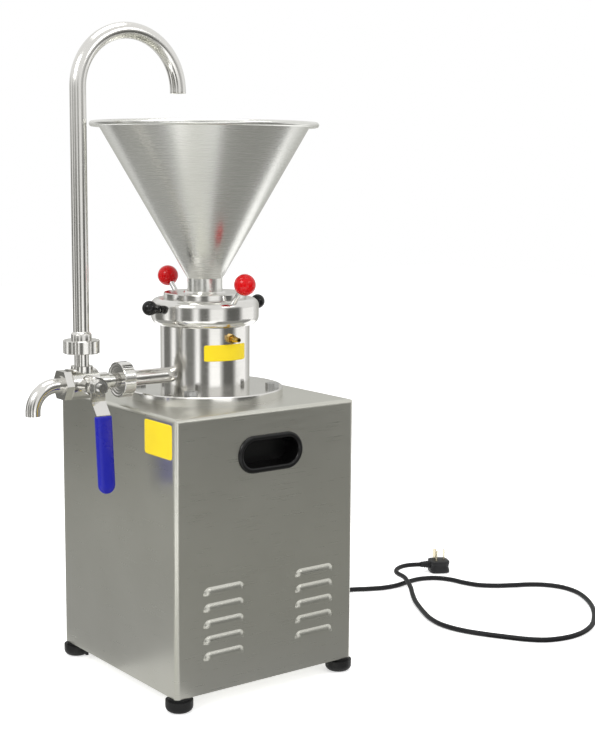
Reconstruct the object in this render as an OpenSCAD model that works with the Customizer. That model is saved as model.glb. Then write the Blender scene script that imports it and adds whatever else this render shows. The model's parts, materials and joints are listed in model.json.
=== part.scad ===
// Bench colloid mill: a vertical motor in a folded stainless cabinet drives a toothed cone
// under a feed hopper; the product leaves by a three-way ball valve, either through a spout
// or through a return pipe that arches back over the hopper.
// Millimetres, +Z up. The origin lies on the floor, under the mill axis. -Y is the outlet side.

/* [Cabinet] */
// Width of the cabinet, between the two louvred sides
cab_w = 310; // [290:1:340]
// Depth of the cabinet, outlet side to back
cab_d = 300; // [290:1:340]
// Height of the cabinet without its feet
cab_h = 380; // [370:1:420]
// Thickness of the folded sheet
sheet = 2; // [1.5:0.5:3]
// Outer radius of the folds
bend_r = 6; // [4:0.5:9]
// Width of the sheet folded inwards round the open bottom
return_w = 32; // [28:1:40]

/* [Feet] */
// Height of a rubber foot
foot_h = 20; // [18:1:28]
// Diameter of a rubber foot
foot_d = 38; // [34:1:40]
// Distance from a foot's axis to the cabinet sides
foot_inset = 13; // [12:0.5:16]
// Radius of a foot's moulded edges
foot_edge_r = 8; // [4:0.5:10]

/* [Louvres] */
// Length of one pressed louvre
louvre_l = 74; // [60:1:80]
// How far a louvre stands out of the side
louvre_out = 4; // [3:0.25:5]
// Radius of the louvre's round hood
louvre_r = 13; // [11:0.5:15]
// Height of the hood's open lip below the hood's middle
louvre_lip = 1.5; // [1:0.25:3]
// Louvres in one column
louvre_rows = 5; // [3:1:5]
// Distance between louvres in a column
louvre_pitch = 22.5; // [20:0.5:24]
// Height of the lowest louvre above the floor
louvre_z = 68; // [60:1:75]
// Distance between the two columns, middle to middle
louvre_gap = 154; // [140:1:160]
// How far the louvres and the hand grip sit behind the middle of the side
side_shift = 4; // [0:1:8]

/* [Hand grips] */
// Length of the grip's rim
grip_l = 108; // [100:1:114]
// Height of the grip's rim
grip_h = 52; // [50:1:56]
// Width of the rim that lies on the side
grip_rim = 8; // [6:0.5:9]
// Wall of the moulded cup
grip_wall = 2.5; // [2:0.25:3]
// Depth of the cup behind the side
grip_depth = 30; // [20:1:34]
// Height of the grip's middle above the floor
grip_z = 340; // [330:1:345]

/* [Base flange] */
// Diameter of the mill's base flange
flange_d = 224; // [220:1:236]
// Thickness of the base flange
flange_t = 13; // [10:0.5:16]
// Circle of the four flange bolts
bolt_pcd = 195; // [185:1:200]
// Diameter of the flange bolts
bolt_d = 10; // [8:1:12]
// Width across flats of the bolt heads
bolt_af = 17; // [15:0.5:19]
// Height of the bolt heads
bolt_head = 6.5; // [5:0.5:8]
// Thickness of the steel plate under the cabinet's top
plate_t = 8; // [6:0.5:12]
// Width of that plate
plate_w = 236; // [230:1:250]

/* [Mill body] */
// Diameter of the mill body
body_d = 128; // [126:0.5:134]
// Height of the body above the flange, up to its shoulder
body_h = 89; // [86:1:96]
// Diameter of the neck inside the adjusting ring
neck_d = 116; // [115:0.5:118]
// Height of the neck above the shoulder
neck_h = 32; // [30:1:34]
// Bore that guides the grinding stator
stator_d = 108; // [106:0.5:109]
// Diameter of the discharge chamber
chamber_d = 92; // [91:0.5:95]
// Height of the ledge under the stator above the flange
ledge_h = 49; // [46:1:52]
// Outer diameter of the cooling jacket cut into the bore
jacket_d = 119; // [114:0.5:121]
// Height of the cooling jacket
jacket_h = 24; // [18:1:26]
// Height of the water nipples above the flange
nipple_h = 74; // [68:1:78]
// Diameter of a water nipple's hose end
nipple_d = 8; // [6:0.5:10]
// How far a water nipple stands out of the body
nipple_l = 21; // [16:1:26]

/* [Grinding set] */
// Diameter of the stator's cone at its wide end
cone_d = 89; // [86:0.5:90]
// Diameter of the stator's throat
throat_d = 62; // [58:0.5:66]
// Height of the toothed cone
cone_h = 44; // [40:1:46]
// Gap between rotor and stator when the ring is closed
grind_gap = 0.3; // [0.3:0.05:0.6]
// Teeth round the rotor and the stator
teeth = 24; // [16:2:30]
// Width of a groove between teeth
groove_w = 2.5; // [1.5:0.25:3]
// Depth of a groove
groove_depth = 3; // [1.5:0.25:3.5]
// Slant of the teeth
groove_slant = 14; // [6:1:20]

/* [Adjusting ring] */
// Diameter of the adjusting ring
ring_d = 154; // [152:0.5:160]
// Height of the adjusting ring
ring_h = 38; // [37:0.5:42]
// Radius of the ring's lower edge
ring_low_r = 13; // [10:0.5:14]
// Radius of the ring's upper edge
ring_top_r = 10; // [7:0.5:11]
// Diameter of the feed plate's collar inside the ring
collar_d = 112; // [110:0.5:114]

/* [Turning levers] */
// Diameter of a lever rod
rod_d = 8; // [6:0.5:10]
// Length of a rod between the ring and the middle of its ball
rod_l = 41; // [34:1:46]
// Lean of the rods away from the mill axis
rod_lean = 45; // [35:1:50]
// Depth of a rod in the ring
rod_seat = 10; // [6:0.5:11]
// Diameter of a red ball
ball_d = 30; // [25:1:35]

/* [Lock knobs] */
// Diameter of a lock screw's stud
stud_d = 8; // [6:0.5:10]
// Diameter of a knob's ball end
knob_d = 21; // [18:0.5:24]
// Diameter of a knob's neck
knob_neck_d = 12; // [11:0.5:15]
// Length of a knob
knob_l = 26; // [22:1:32]
// Height of the lock screws above the ring's lower face
lock_h = 25; // [18:0.5:26]
// Tilt of the lock screws above the level
lock_tilt = 10; // [0:1:14]

/* [Feed plate and hopper] */
// Diameter of the feed plate
feed_d = 118; // [116:0.5:122]
// Thickness of the feed plate above the ring
feed_t = 8; // [6:0.5:12]
// Diameter of the hopper's neck
hop_neck_d = 50; // [46:0.5:54]
// Height of the neck above the feed plate
hop_neck_h = 20; // [14:1:30]
// Diameter of the hopper's rim
hop_d = 322; // [310:1:330]
// Height of the hopper's cone
hop_cone_h = 218; // [205:1:224]
// Wall of the hopper
hop_wall = 1.5; // [1:0.25:2.5]
// Diameter of the rolled rim
hop_bead = 8; // [6:0.5:10]
// Width of the flat lip between cone and rolled rim
hop_lip = 6; // [4:0.5:8]

/* [Discharge line] */
// Outer diameter of the outlet pipe and of the return pipe
tube_d = 22; // [20:0.5:24]
// Wall of the pipes
tube_wall = 1.5; // [1:0.25:2]
// Height of the outlet axis above the flange
outlet_h = 20.5; // [20:0.5:24]
// Distance from the mill axis to the valve's ball
valve_reach = 200; // [198:1:214]
// Diameter of the two union nuts
nut_d = 50; // [48:0.5:54]
// Length of a union nut
nut_l = 18; // [17:0.5:22]
// Grooves round a union nut
nut_grooves = 8; // [6:1:10]
// Diameter of the unions' threaded liner
liner_d = 40; // [38:0.5:42]
// Thickness of a union's gasket
gasket_t = 1.5; // [1:0.25:2]
// Distance from the mill axis to the outer face of the outlet nut
nut_reach = 146; // [144:1:150]

/* [Ball valve] */
// Diameter of the valve's ball
valve_ball_d = 32; // [30:0.5:33]
// Bore through the valve
port_d = 17; // [14:0.5:18]
// Diameter of the valve's barrel
barrel_d = 42; // [41:0.5:46]
// Width across flats of the end cap
cap_af = 38; // [36:0.5:42]
// Length of the end cap
cap_l = 13; // [11:0.5:18]
// Diameter of the valve's inlet neck
inlet_d = 20; // [20:0.5:22]
// Diameter of the valve's upper stub
stub_d = 20; // [20:0.5:22]
// Height of the lower face of the riser nut above the outlet axis
riser_nut_h = 41.5; // [38:0.5:46]
// Diameter of the stem
stem_d = 12; // [10:0.5:13]
// Length of the stem boss from the outlet axis
boss_l = 32; // [30:0.5:36]
// Width across flats of the stem's gland nut
gland_af = 22; // [20:0.5:24]
// Length of the gland nut
gland_l = 8; // [6:0.5:10]
// Thickness of the lever's plate
lever_t = 3; // [2.5:0.25:4]
// Width of the lever's plate
lever_w = 21; // [18:0.5:22]
// Length of the lever from the stem
lever_l = 138; // [125:1:150]
// Offset of the lever's crank
lever_crank = 13; // [8:0.5:14]
// Further flare of the lever down to its end
lever_flare = 8; // [0:0.5:10]
// Width of the vinyl grip
sleeve_w = 25; // [24:0.5:28]
// Thickness of the vinyl grip
sleeve_t = 9; // [7:0.5:11]
// Distance from the stem to the top of the vinyl grip
sleeve_top = 37; // [37:0.5:42]
// Outer diameter of the spout
spout_d = 20; // [18:0.5:21]
// Radius of the spout's bend
spout_bend = 33; // [30:1:42]
// Straight length of the spout before its bend
spout_run = 6; // [2:0.5:14]
// Straight length of the spout after its bend
spout_tail = 5; // [4:0.5:10]

/* [Return pipe] */
// Height of the arch's middle above the floor
arch_z = 828; // [820:1:845]
// Radius of the arch
arch_r = 78; // [70:1:84]
// Straight length after the arch
arch_tail = 3; // [1:0.5:22]
// Diameter of the ferrule above the riser nut
ferrule_d = 28; // [26:0.5:29]
// Height of the ferrule above the riser nut
ferrule_h = 11; // [8:0.5:14]

/* [Motor] */
// Width of the motor's mounting flange outside its bolts
motor_flange_edge = 5; // [4:0.5:8]
// Thickness of the motor's mounting flange
motor_flange_t = 12; // [10:0.5:14]
// Gap between the motor's fins and its bolt heads
motor_bolt_gap = 1.5; // [1:0.25:3]
// Diameter of the motor bolts
motor_bolt_d = 8; // [6:1:10]
// Width across flats of the motor bolts' heads
motor_bolt_af = 13; // [10:0.5:16]
// Length of the motor's barrel
motor_l = 190; // [180:1:200]
// Diameter of the barrel without its fins
motor_d = 156; // [152:1:160]
// Height of the cooling fins
fin_h = 7; // [5:0.5:8]
// Number of cooling fins
fins = 28; // [20:2:32]
// Diameter of the spindle at the motor
spindle_d = 34; // [32:0.5:36]
// Diameter of the spindle under the rotor
rotor_bore = 22; // [20:0.5:23]

/* [Cord] */
// Diameter of the mains cord
cord_d = 8; // [7:0.5:8]
// Length of the cable gland's tapered nose
gland_nose = 24; // [20:1:30]

/* [Hidden] */
$fn = 96;
run_fit = 0.05;        // radial clearance of parts that turn or slide in each other
face_fit = 0.05;       // clearance between faces that move on each other
over = 1;              // how far a cut runs past the surface it opens
hex_long = 2/sqrt(3);  // width across corners of a hexagon over its width across flats

// Heights of the main faces
cab_top = foot_h + cab_h;
plate_z = cab_top - sheet - plate_t;
flange_top = cab_top + flange_t;
spigot_h = 3;
shoulder_z = flange_top + body_h;
neck_top = shoulder_z + neck_h;
ledge_z = flange_top + ledge_h;
nipple_z = flange_top + nipple_h;
jacket_z = nipple_z - jacket_h/2 - 3;
ring_z = shoulder_z + face_fit;
ring_top = ring_z + ring_h;
feed_z = ring_top + face_fit;
feed_top = feed_z + feed_t;
hop_seat = 6;
hop_z = feed_top + hop_neck_h;
rim_z = hop_z + hop_cone_h;
line_z = flange_top + outlet_h;

// Shaft, rotor and stator
spigot_d = 100;
seal_bore = 48;
seal_lip = 36;
seal_d = 28;
seal_seat_h = 10;
seal_head_d = 40;
seal_head_h = 20;
collar_step = 1;
throat_h = 10;
stator_z = ledge_z + face_fit;
stator_top = stator_z + cone_h + throat_h;
rotor_top = stator_z + cone_h;
rotor_z = flange_top + spigot_h + seal_head_h + 4;
rotor_rim = 6;
rotor_hub_d = 44;
cone_slope = atan((cone_d - throat_d)/2/cone_h);
rotor_cone_d = cone_d - 2*grind_gap/cos(cone_slope);
rotor_throat_d = throat_d - 2*grind_gap/cos(cone_slope);
thread_d = 16;
thread_l = 13;
impeller_h = 17;
oring_d = 2.8;
oring_groove = 4;
oring_inset = 5;

// Motor stack, measured down from the plate
motor_top = plate_z - motor_flange_t;
motor_foot = motor_top - motor_l;
shield_t = 12;
bearing_w = 16;
bearing_top_d = 62;
bearing_low_d = 52;
bearing_cover = 4;
spindle_top_d = 30;
spindle_low_d = 25;
fan_shaft_d = 22;
bearing_top_z = plate_z - bearing_cover - bearing_w;
bearing_low_z = motor_foot - shield_t + bearing_cover;
hub_wall = 9;
core_h = 105;
core_z = (motor_top + motor_foot - core_h)/2;
core_d = motor_d - 12;
air_gap = 0.5;
rotor_core_d = 90;
winding_h = 20;
winding_inset = 3;
fan_cover_h = 58;
fan_cover_wall = 2;
fan_h = 24;
fan_blades = 7;
fan_z = motor_foot - shield_t - 14 - fan_h;
fan_clear = 6;
spindle_foot = fan_z - 4;
terminal_w = 90;
terminal_h = 90;
terminal_out = 26;

// Positions that several pieces share
foot_x = cab_w/2 - foot_inset;
foot_y = cab_d/2 - foot_inset;
valve_y = -valve_reach;
bolt_hole = bolt_d + 0.5;
motor_pcd = motor_d + 2*fin_h + motor_bolt_af*hex_long + 2*motor_bolt_gap;
motor_flange_d = motor_pcd + motor_bolt_d + 2*motor_flange_edge;
pan_t = 2;
pan_clear = 0.5;
grip_cup_r = grip_h/2 - grip_rim + grip_wall;
grip_straight = grip_l - grip_h;
tube_r = tube_d/2;
tube_bore = tube_r - tube_wall;
lip_t = 3.5;
collar_t = 3;
collar_r = liner_d/2 - 2;
chamber_wall = 0.4;
chamber_r = valve_ball_d/2 + chamber_wall;
barrel_half = valve_ball_d/2 + 2;
barrel_out = barrel_half + 4;
cap_collar = 2;
seat_l = 8;
lever_x = boss_l + gland_l + 2;
stem_nut_af = 19;
stem_nut_l = 8;
stem_end = lever_x + lever_t + stem_nut_l + 4;
lever_bend = 19;
lever_knee = 36;
lever_head_r = 13;
spout_bore = spout_d/2 - tube_wall;
riser_nut_z = line_z + riser_nut_h;
nut_lip_z = riser_nut_z + nut_l - lip_t;
gland_x = -60;
gland_z = 60;
gland_af_back = 24;
gland_hex = 7;
gland_thread_d = 16;
locknut_t = 5;
drain_d = 5;
drain_clear = 1.5;
drain_gap = 8.5;
drain_x = foot_d/2 + drain_gap + drain_d/2 - foot_x;
drain_y = -foot_y;
drain_turn = 232;
drain_start = (motor_flange_d/2 + drain_d/2 + drain_clear)*[cos(drain_turn), sin(drain_turn)];

// Points of the mains cord, along the floor to the plug
cord_r = cord_d/2;
gland_mouth = cab_d/2 + gland_hex + gland_nose;
cord_route = [
    [gland_x, cab_d/2, gland_z], [gland_x, gland_mouth - 12, gland_z],
    [gland_x, gland_mouth + 4, gland_z], [gland_x, gland_mouth + 22, gland_z],
    [-62.5, 225, 57], [-69, 247, 46], [-79, 267, 30], [-92, 287, 15], [-109, 309, 6],
    [-128, 334, cord_r], [-142, 361, cord_r], [-143, 391, cord_r], [-130, 418, cord_r],
    [-118, 446, cord_r], [-115, 475, cord_r], [-120, 505, cord_r], [-121, 534, cord_r],
    [-109, 560, cord_r], [-86, 575, cord_r], [-59, 581, cord_r], [-33, 592, cord_r],
    [-12, 614, cord_r], [3, 640, cord_r], [17, 667, cord_r], [37, 689, cord_r],
    [64, 701, cord_r], [94, 700, cord_r], [122, 689, cord_r], [148, 673, cord_r],
    [171, 655, cord_r], [193, 634, cord_r], [213, 611, cord_r], [231, 586, cord_r],
    [244, 559, cord_r], [251, 530, cord_r], [250, 500, cord_r], [240, 471, cord_r],
    [220, 449, cord_r], [195, 432, cord_r], [169, 416, cord_r], [142, 402, cord_r],
    [114, 393, cord_r], [84, 391, cord_r], [54, 398, cord_r], [27, 410, cord_r],
    [0, 424, cord_r], [-27, 439, 4.5], [-52, 455, 7], [-76, 472, 10], [-100, 486, 12.5],
    [-121, 496, 14], [-145.2, 502.1, 14], [-159.2, 511.3, 14], [-168.9, 525, 14],
    [-173.1, 541.2, 14], [-171.2, 556.3, 14], [-163.4, 572.7, 14]];
// The plug stands on its back beside the cord, pins up
plug_w = 36;
plug_l = 36;
plug_h = 22;
plug_edge_r = 6;
plug_boot_l = 16;
plug_entry_z = 14;
pin_l = 18;
pin_w = 6.3;
pin_t = 1.6;
cord_line = [for (q = spline(cord_route, 2)) [q[0], q[1], max(q[2], cord_r)]];
cord_end = heading(cord_line, len(cord_line) - 1);
plug_turn = atan2(cord_end[1], cord_end[0]);
plug_entry = cord_line[len(cord_line) - 1] + 2*face_fit*cord_end;
// Leak drain from the plate's edge down through the bottom pan
function drain_point(share, z) =
    let (q = drain_start + share*([drain_x, drain_y] - drain_start)) [q[0], q[1], z];
drain_route = [
    drain_point(0, plate_z), drain_point(0, 300), drain_point(0, 200), drain_point(0, 120),
    drain_point(0.08, 95), drain_point(0.39, 78), drain_point(0.71, 64), drain_point(0.95, 50),
    drain_point(1, 36), drain_point(1, 22), drain_point(1, 6)];

// Shared shapes

// Rectangle with round corners
module round_rect(w, d, r) {
    square([w - 2*r, d], center = true);
    square([w, d - 2*r], center = true);
    for (x = [-1, 1], y = [-1, 1]) translate([x*(w/2 - r), y*(d/2 - r)]) circle(r);
}

// Upright outline of a folded box: square at the foot, round at the top corners
module arch_rect(w, h, r) {
    translate([-w/2, 0]) square([w, h - r]);
    translate([r - w/2, 0]) square([w - 2*r, h]);
    for (x = [-1, 1]) translate([x*(w/2 - r), h - r]) circle(r);
}

// Box with round upright edges and round top edges
module folded_box(w, d, h, r) {
    intersection() {
        linear_extrude(h) round_rect(w, d, r);
        rotate([90, 0, 0]) linear_extrude(d + 2*over, center = true) arch_rect(w, h, r);
        rotate([90, 0, 90]) linear_extrude(w + 2*over, center = true) arch_rect(d, h, r);
    }
}

// Rod with ball ends along Y
module capsule(l, r) {
    rotate([90, 0, 0]) rotate_extrude() intersection() {
        union() {
            translate([0, r - l/2]) square([r, l - 2*r]);
            for (e = [-1, 1]) translate([0, e*(l/2 - r)]) circle(r);
        }
        translate([0, -l/2]) square([r, l]);
    }
}

// Profile carried round a slot shape whose straight sides run along Y
module slot_sweep(straight) {
    for (turn = [0, 180]) rotate([0, 0, turn]) translate([0, straight/2, 0]) {
        rotate_extrude(angle = 180) children();
        rotate([90, 0, 0]) linear_extrude(straight) children();
    }
}

// Slot-shaped block whose straight sides run along Y
module slot_block(straight, r, h) {
    linear_extrude(h) {
        square([2*r, straight], center = true);
        for (e = [-1, 1]) translate([0, e*straight/2]) circle(r);
    }
}

// Ring round Z
module ring(r_in, r_out, z, h) {
    translate([r_in, z]) square([r_out - r_in, h]);
}

// Half of a disc, on the side away from Z
module half_disc(r) {
    intersection() {
        circle(r);
        translate([0, -r]) square([r, 2*r]);
    }
}

// Turned piece with a hole
module tube(r_out, r_in, l) {
    difference() {
        cylinder(r = r_out, h = l);
        translate([0, 0, -over]) cylinder(r = r_in, h = l + 2*over);
    }
}

// Hexagon prism by its width across flats
module hex(af, h) {
    cylinder(d = af*hex_long, h = h, $fn = 6);
}

// Places the children on the four diagonals of a bolt circle
module on_diagonals(pcd) {
    for (a = [45:90:315]) rotate([0, 0, a]) translate([pcd/2, 0, 0]) children();
}

// Turns a piece made along Z so that it runs from the valve towards -Y
module along_outlet(y) {
    translate([0, y, line_z]) rotate([90, 0, 0]) children();
}

// Smooth curve through a list of points
function spline_point(p0, p1, p2, p3, t) =
    0.5*(2*p1 + (p2 - p0)*t + (2*p0 - 5*p1 + 4*p2 - p3)*t*t + (3*p1 - p0 - 3*p2 + p3)*t*t*t);
function spline(p, steps) = concat(
    [for (i = [0:len(p) - 2], s = [0:steps - 1])
        spline_point(p[max(i - 1, 0)], p[i], p[i + 1], p[min(i + 2, len(p) - 1)], s/steps)],
    [p[len(p) - 1]]);
function unit(v) = v/norm(v);
function heading(p, i) = unit(p[min(i + 1, len(p) - 1)] - p[max(i - 1, 0)]);

// Round tube swept along a list of points; up is any direction the points never follow
module sweep(p, r, sides, up) {
    n = len(p);
    rings = [for (i = [0:n - 1])
        let (t = heading(p, i), a = unit(cross(t, up)), b = cross(a, t))
        for (k = [0:sides - 1]) p[i] + r*(cos(360*k/sides)*a + sin(360*k/sides)*b)];
    walls = [for (i = [0:n - 2], k = [0:sides - 1])
        let (k2 = (k + 1) % sides, a = i*sides, b = a + sides)
        each [[a + k, a + k2, b + k2], [a + k, b + k2, b + k]]];
    ends = [[for (k = [sides - 1:-1:0]) k], [for (k = [0:sides - 1]) (n - 1)*sides + k]];
    polyhedron(points = rings, faces = concat(walls, ends), convexity = 6);
}

// Cabinet

// Places the children on each louvre of the +X side and of the -X side
module on_louvres() {
    for (side = [0, 1], column = [-1, 1], row = [0:louvre_rows - 1])
        mirror([side, 0, 0])
            translate([cab_w/2, side_shift + column*louvre_gap/2, louvre_z + row*louvre_pitch])
                children();
}

// Part of a louvre's round hood above its lip; the capsule is sunk into the side
module louvre_hood(r, x_in, x_out) {
    intersection() {
        translate([louvre_out - louvre_r, 0, 0]) capsule(louvre_l - 2*(louvre_r - r), r);
        translate([-x_in, -louvre_l/2, -louvre_lip]) cube([x_in + x_out, louvre_l, 2*louvre_r]);
    }
}

// Folded sheet cabinet, open at the bottom, with pressed louvres on both sides
module cabinet_shell() {
    grip_cut = grip_cup_r + pan_clear;
    color("silver") difference() {
        union() {
            difference() {
                translate([0, 0, foot_h]) folded_box(cab_w, cab_d, cab_h, bend_r);
                translate([0, 0, foot_h + sheet])
                    folded_box(cab_w - 2*sheet, cab_d - 2*sheet, cab_h - 2*sheet, bend_r - sheet);
            }
            on_louvres() louvre_hood(louvre_r, sheet/2, louvre_out + over);
        }
        on_louvres() louvre_hood(louvre_r - sheet*0.75, sheet + over, louvre_out + over);
        translate([0, 0, foot_h - over]) linear_extrude(sheet + 2*over)
            round_rect(cab_w - 2*return_w, cab_d - 2*return_w, bend_r);
        for (side = [0, 1]) mirror([side, 0, 0])
            translate([cab_w/2 - sheet - over, side_shift, grip_z]) rotate([0, 90, 0])
                slot_block(grip_straight, grip_cut, sheet + 2*over);
        translate([0, 0, cab_top - sheet - over]) cylinder(d = seal_bore + 34, h = sheet + 2*over);
        translate([0, 0, cab_top - sheet - over])
            on_diagonals(bolt_pcd) cylinder(d = bolt_hole, h = sheet + 2*over);
        translate([gland_x, cab_d/2 + over, gland_z]) rotate([90, 0, 0])
            cylinder(d = gland_thread_d + 2*run_fit, h = sheet + 2*over);
        translate([drain_x, drain_y, foot_h - over])
            cylinder(d = drain_d + 2*drain_clear, h = sheet + 2*over);
    }
}

// Bottom plate with rows of air slots under the motor
module bottom_pan() {
    slot_r = 4;
    slot_straight = 60;
    color("darkgray") translate([0, 0, foot_h + sheet]) difference() {
        linear_extrude(pan_t) round_rect(cab_w - 2*sheet - 2*pan_clear,
            cab_d - 2*sheet - 2*pan_clear, bend_r - sheet);
        for (x = [-60:20:60], y = [-1, 1])
            translate([x, y*50, -over]) slot_block(slot_straight, slot_r, pan_t + 2*over);
        translate([drain_x, drain_y, -over]) cylinder(d = drain_d + 2*drain_clear, h = pan_t + 2*over);
    }
}

// Four rubber feet with moulded round edges
module rubber_feet() {
    e = foot_edge_r;
    r = foot_d/2;
    color([0.1, 0.1, 0.1]) for (x = [-1, 1], y = [-1, 1])
        translate([x*foot_x, y*foot_y, 0]) rotate_extrude() {
            square([r - e, foot_h]);
            translate([r - e, e]) square([e, foot_h - 2*e + e/2]);
            translate([r - e, e]) intersection() {
                circle(e);
                translate([0, -e]) square([e, e]);
            }
            translate([r - e, foot_h - e/2]) square([e/2, e/2]);
        }
}

// Flush hand grip: half-round rim on the side and a cup behind it
module hand_grip() {
    cup_r = grip_cup_r - grip_wall;
    rotate([0, 90, 0]) {
        slot_sweep(grip_straight) intersection() {
            translate([cup_r + grip_rim/2, 0]) circle(grip_rim/2);
            translate([cup_r, 0]) square([grip_rim, grip_rim]);
        }
        slot_sweep(grip_straight) translate([cup_r, -grip_depth]) square([grip_wall, grip_depth]);
        translate([0, 0, -grip_depth]) slot_block(grip_straight, cup_r, grip_wall);
    }
}
module hand_grip_right() {
    color([0.06, 0.06, 0.06]) translate([cab_w/2, side_shift, grip_z]) hand_grip();
}
module hand_grip_left() {
    color([0.06, 0.06, 0.06]) mirror([1, 0, 0]) translate([cab_w/2, side_shift, grip_z]) hand_grip();
}

// Cable gland in the back: hexagon, tapered nose, thread and locknut
module cable_gland() {
    nose_r = cord_r + 3;
    color([0.1, 0.1, 0.1]) translate([gland_x, cab_d/2, gland_z]) rotate([-90, 0, 0]) difference() {
        union() {
            hex(gland_af_back, gland_hex);
            translate([0, 0, gland_hex])
                cylinder(r1 = gland_af_back/2 - 1, r2 = nose_r, h = gland_nose);
            translate([0, 0, -sheet - locknut_t]) cylinder(d = gland_thread_d, h = sheet + locknut_t);
            translate([0, 0, -sheet - locknut_t]) hex(gland_af_back, locknut_t);
        }
        translate([0, 0, -sheet - locknut_t - over])
            cylinder(r = cord_r + run_fit, h = gland_nose + gland_hex + sheet + locknut_t + 2*over);
    }
}

// Steel plate that carries the motor under the cabinet's top
module motor_plate() {
    color("dimgray") translate([0, 0, plate_z]) difference() {
        linear_extrude(plate_t) round_rect(plate_w, plate_w, bend_r);
        translate([0, 0, -over]) cylinder(d = seal_bore + 34, h = plate_t + 2*over);
        translate([0, 0, -over]) on_diagonals(bolt_pcd)
            cylinder(d = bolt_d + 2*run_fit, h = plate_t + 2*over);
        translate([0, 0, -over]) rotate([0, 0, 45]) on_diagonals(motor_pcd)
            cylinder(d = motor_bolt_d + 2*run_fit, h = plate_t + 2*over);
    }
}

// Mill housing

// Base flange with a spigot for the body and a stepped bore for the shaft seal
module base_flange() {
    edge = 1.5;
    r = flange_d/2;
    seat_z = flange_top + spigot_h - seal_seat_h;
    color("gainsboro") difference() {
        rotate_extrude() polygon([
            [seal_lip/2, cab_top], [r, cab_top], [r, flange_top - edge], [r - edge, flange_top],
            [spigot_d/2, flange_top], [spigot_d/2, flange_top + spigot_h],
            [seal_bore/2, flange_top + spigot_h], [seal_bore/2, seat_z], [seal_lip/2, seat_z]]);
        translate([0, 0, cab_top - over]) on_diagonals(bolt_pcd)
            cylinder(d = bolt_hole, h = flange_t + 2*over);
    }
}

module flange_bolts() {
    color("whitesmoke") on_diagonals(bolt_pcd) {
        translate([0, 0, flange_top]) hex(bolt_af, bolt_head);
        translate([0, 0, plate_z]) cylinder(d = bolt_d, h = flange_top - plate_z);
    }
}

// Body with discharge chamber, stator bore and the cooling jacket cut into that bore
module mill_body() {
    spigot_r = spigot_d/2 + run_fit;
    color("gainsboro") difference() {
        rotate_extrude() polygon([
            [spigot_r, flange_top], [body_d/2, flange_top], [body_d/2, shoulder_z],
            [neck_d/2, shoulder_z], [neck_d/2, neck_top], [stator_d/2, neck_top],
            [stator_d/2, jacket_z + jacket_h], [jacket_d/2, jacket_z + jacket_h],
            [jacket_d/2, jacket_z], [stator_d/2, jacket_z], [stator_d/2, ledge_z],
            [chamber_d/2, ledge_z], [chamber_d/2, flange_top + spigot_h],
            [spigot_r, flange_top + spigot_h]]);
        along_outlet(0) cylinder(d = tube_d + 2*run_fit, h = body_d/2 + over);
        translate([-body_d/2 - over, 0, nipple_z]) rotate([0, 90, 0])
            cylinder(d = nipple_d + 2*run_fit, h = body_d + 2*over);
    }
}

// Brass hose nipples of the cooling jacket, one on each side
module water_nipples() {
    r = nipple_d/2;
    hex_l = 5;
    barb = 0.8;
    color("goldenrod") for (side = [0, 1]) mirror([side, 0, 0])
        translate([body_d/2, 0, nipple_z]) rotate([0, 90, 0]) difference() {
            union() {
                translate([0, 0, jacket_d/2 - body_d/2]) cylinder(r = r, h = (body_d - jacket_d)/2);
                hex(nipple_d + 4, hex_l);
                translate([0, 0, hex_l]) cylinder(r = r - barb, h = nipple_l - hex_l);
                for (z = [hex_l + 4:5:nipple_l - 4])
                    translate([0, 0, z]) cylinder(r1 = r, r2 = r - barb, h = 4);
            }
            translate([0, 0, -body_d/2]) cylinder(r = r - 2, h = body_d/2 + nipple_l + over);
        }
}

// Discharge line

// Outlet pipe with the threaded liner of its union
module outlet_pipe() {
    pipe_start = chamber_d/2 + 1;
    liner_end = nut_reach - lip_t - collar_t - face_fit - gasket_t;
    liner_l = nut_l - lip_t - collar_t - gasket_t + 2;
    color("gainsboro") along_outlet(0) difference() {
        union() {
            translate([0, 0, pipe_start]) cylinder(r = tube_r, h = liner_end - pipe_start);
            translate([0, 0, liner_end - liner_l]) cylinder(d = liner_d, h = liner_l);
        }
        translate([0, 0, pipe_start - over]) cylinder(r = tube_bore, h = liner_end - pipe_start + 2*over);
    }
}

// Round union nut with grooves for a hook spanner; its lip is at the far end
module union_nut() {
    groove_r = 3;
    edge = 1;
    color("gainsboro") difference() {
        rotate_extrude() polygon([
            [liner_d/2 + run_fit, 0], [nut_d/2 - edge, 0], [nut_d/2, edge], [nut_d/2, nut_l - edge],
            [nut_d/2 - edge, nut_l], [ferrule_d/2 + 2*run_fit, nut_l],
            [ferrule_d/2 + 2*run_fit, nut_l - lip_t], [liner_d/2 + run_fit, nut_l - lip_t]]);
        for (k = [0:nut_grooves - 1]) rotate([0, 0, 360*k/nut_grooves])
            translate([nut_d/2 + groove_r/3, 0, -over]) cylinder(r = groove_r, h = nut_l + 2*over);
    }
}
module outlet_nut() {
    along_outlet(nut_l - nut_reach) union_nut();
}
module riser_nut() {
    translate([0, valve_y, riser_nut_z]) union_nut();
}
module outlet_gasket() {
    z = nut_reach - lip_t - collar_t - face_fit - gasket_t;
    color("white") along_outlet(-z) tube(collar_r - 1, tube_bore, gasket_t);
}
module riser_gasket() {
    color("white") translate([0, valve_y, nut_lip_z - collar_t - 2*face_fit - gasket_t])
        tube(collar_r - 1, tube_bore, gasket_t);
}

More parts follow.
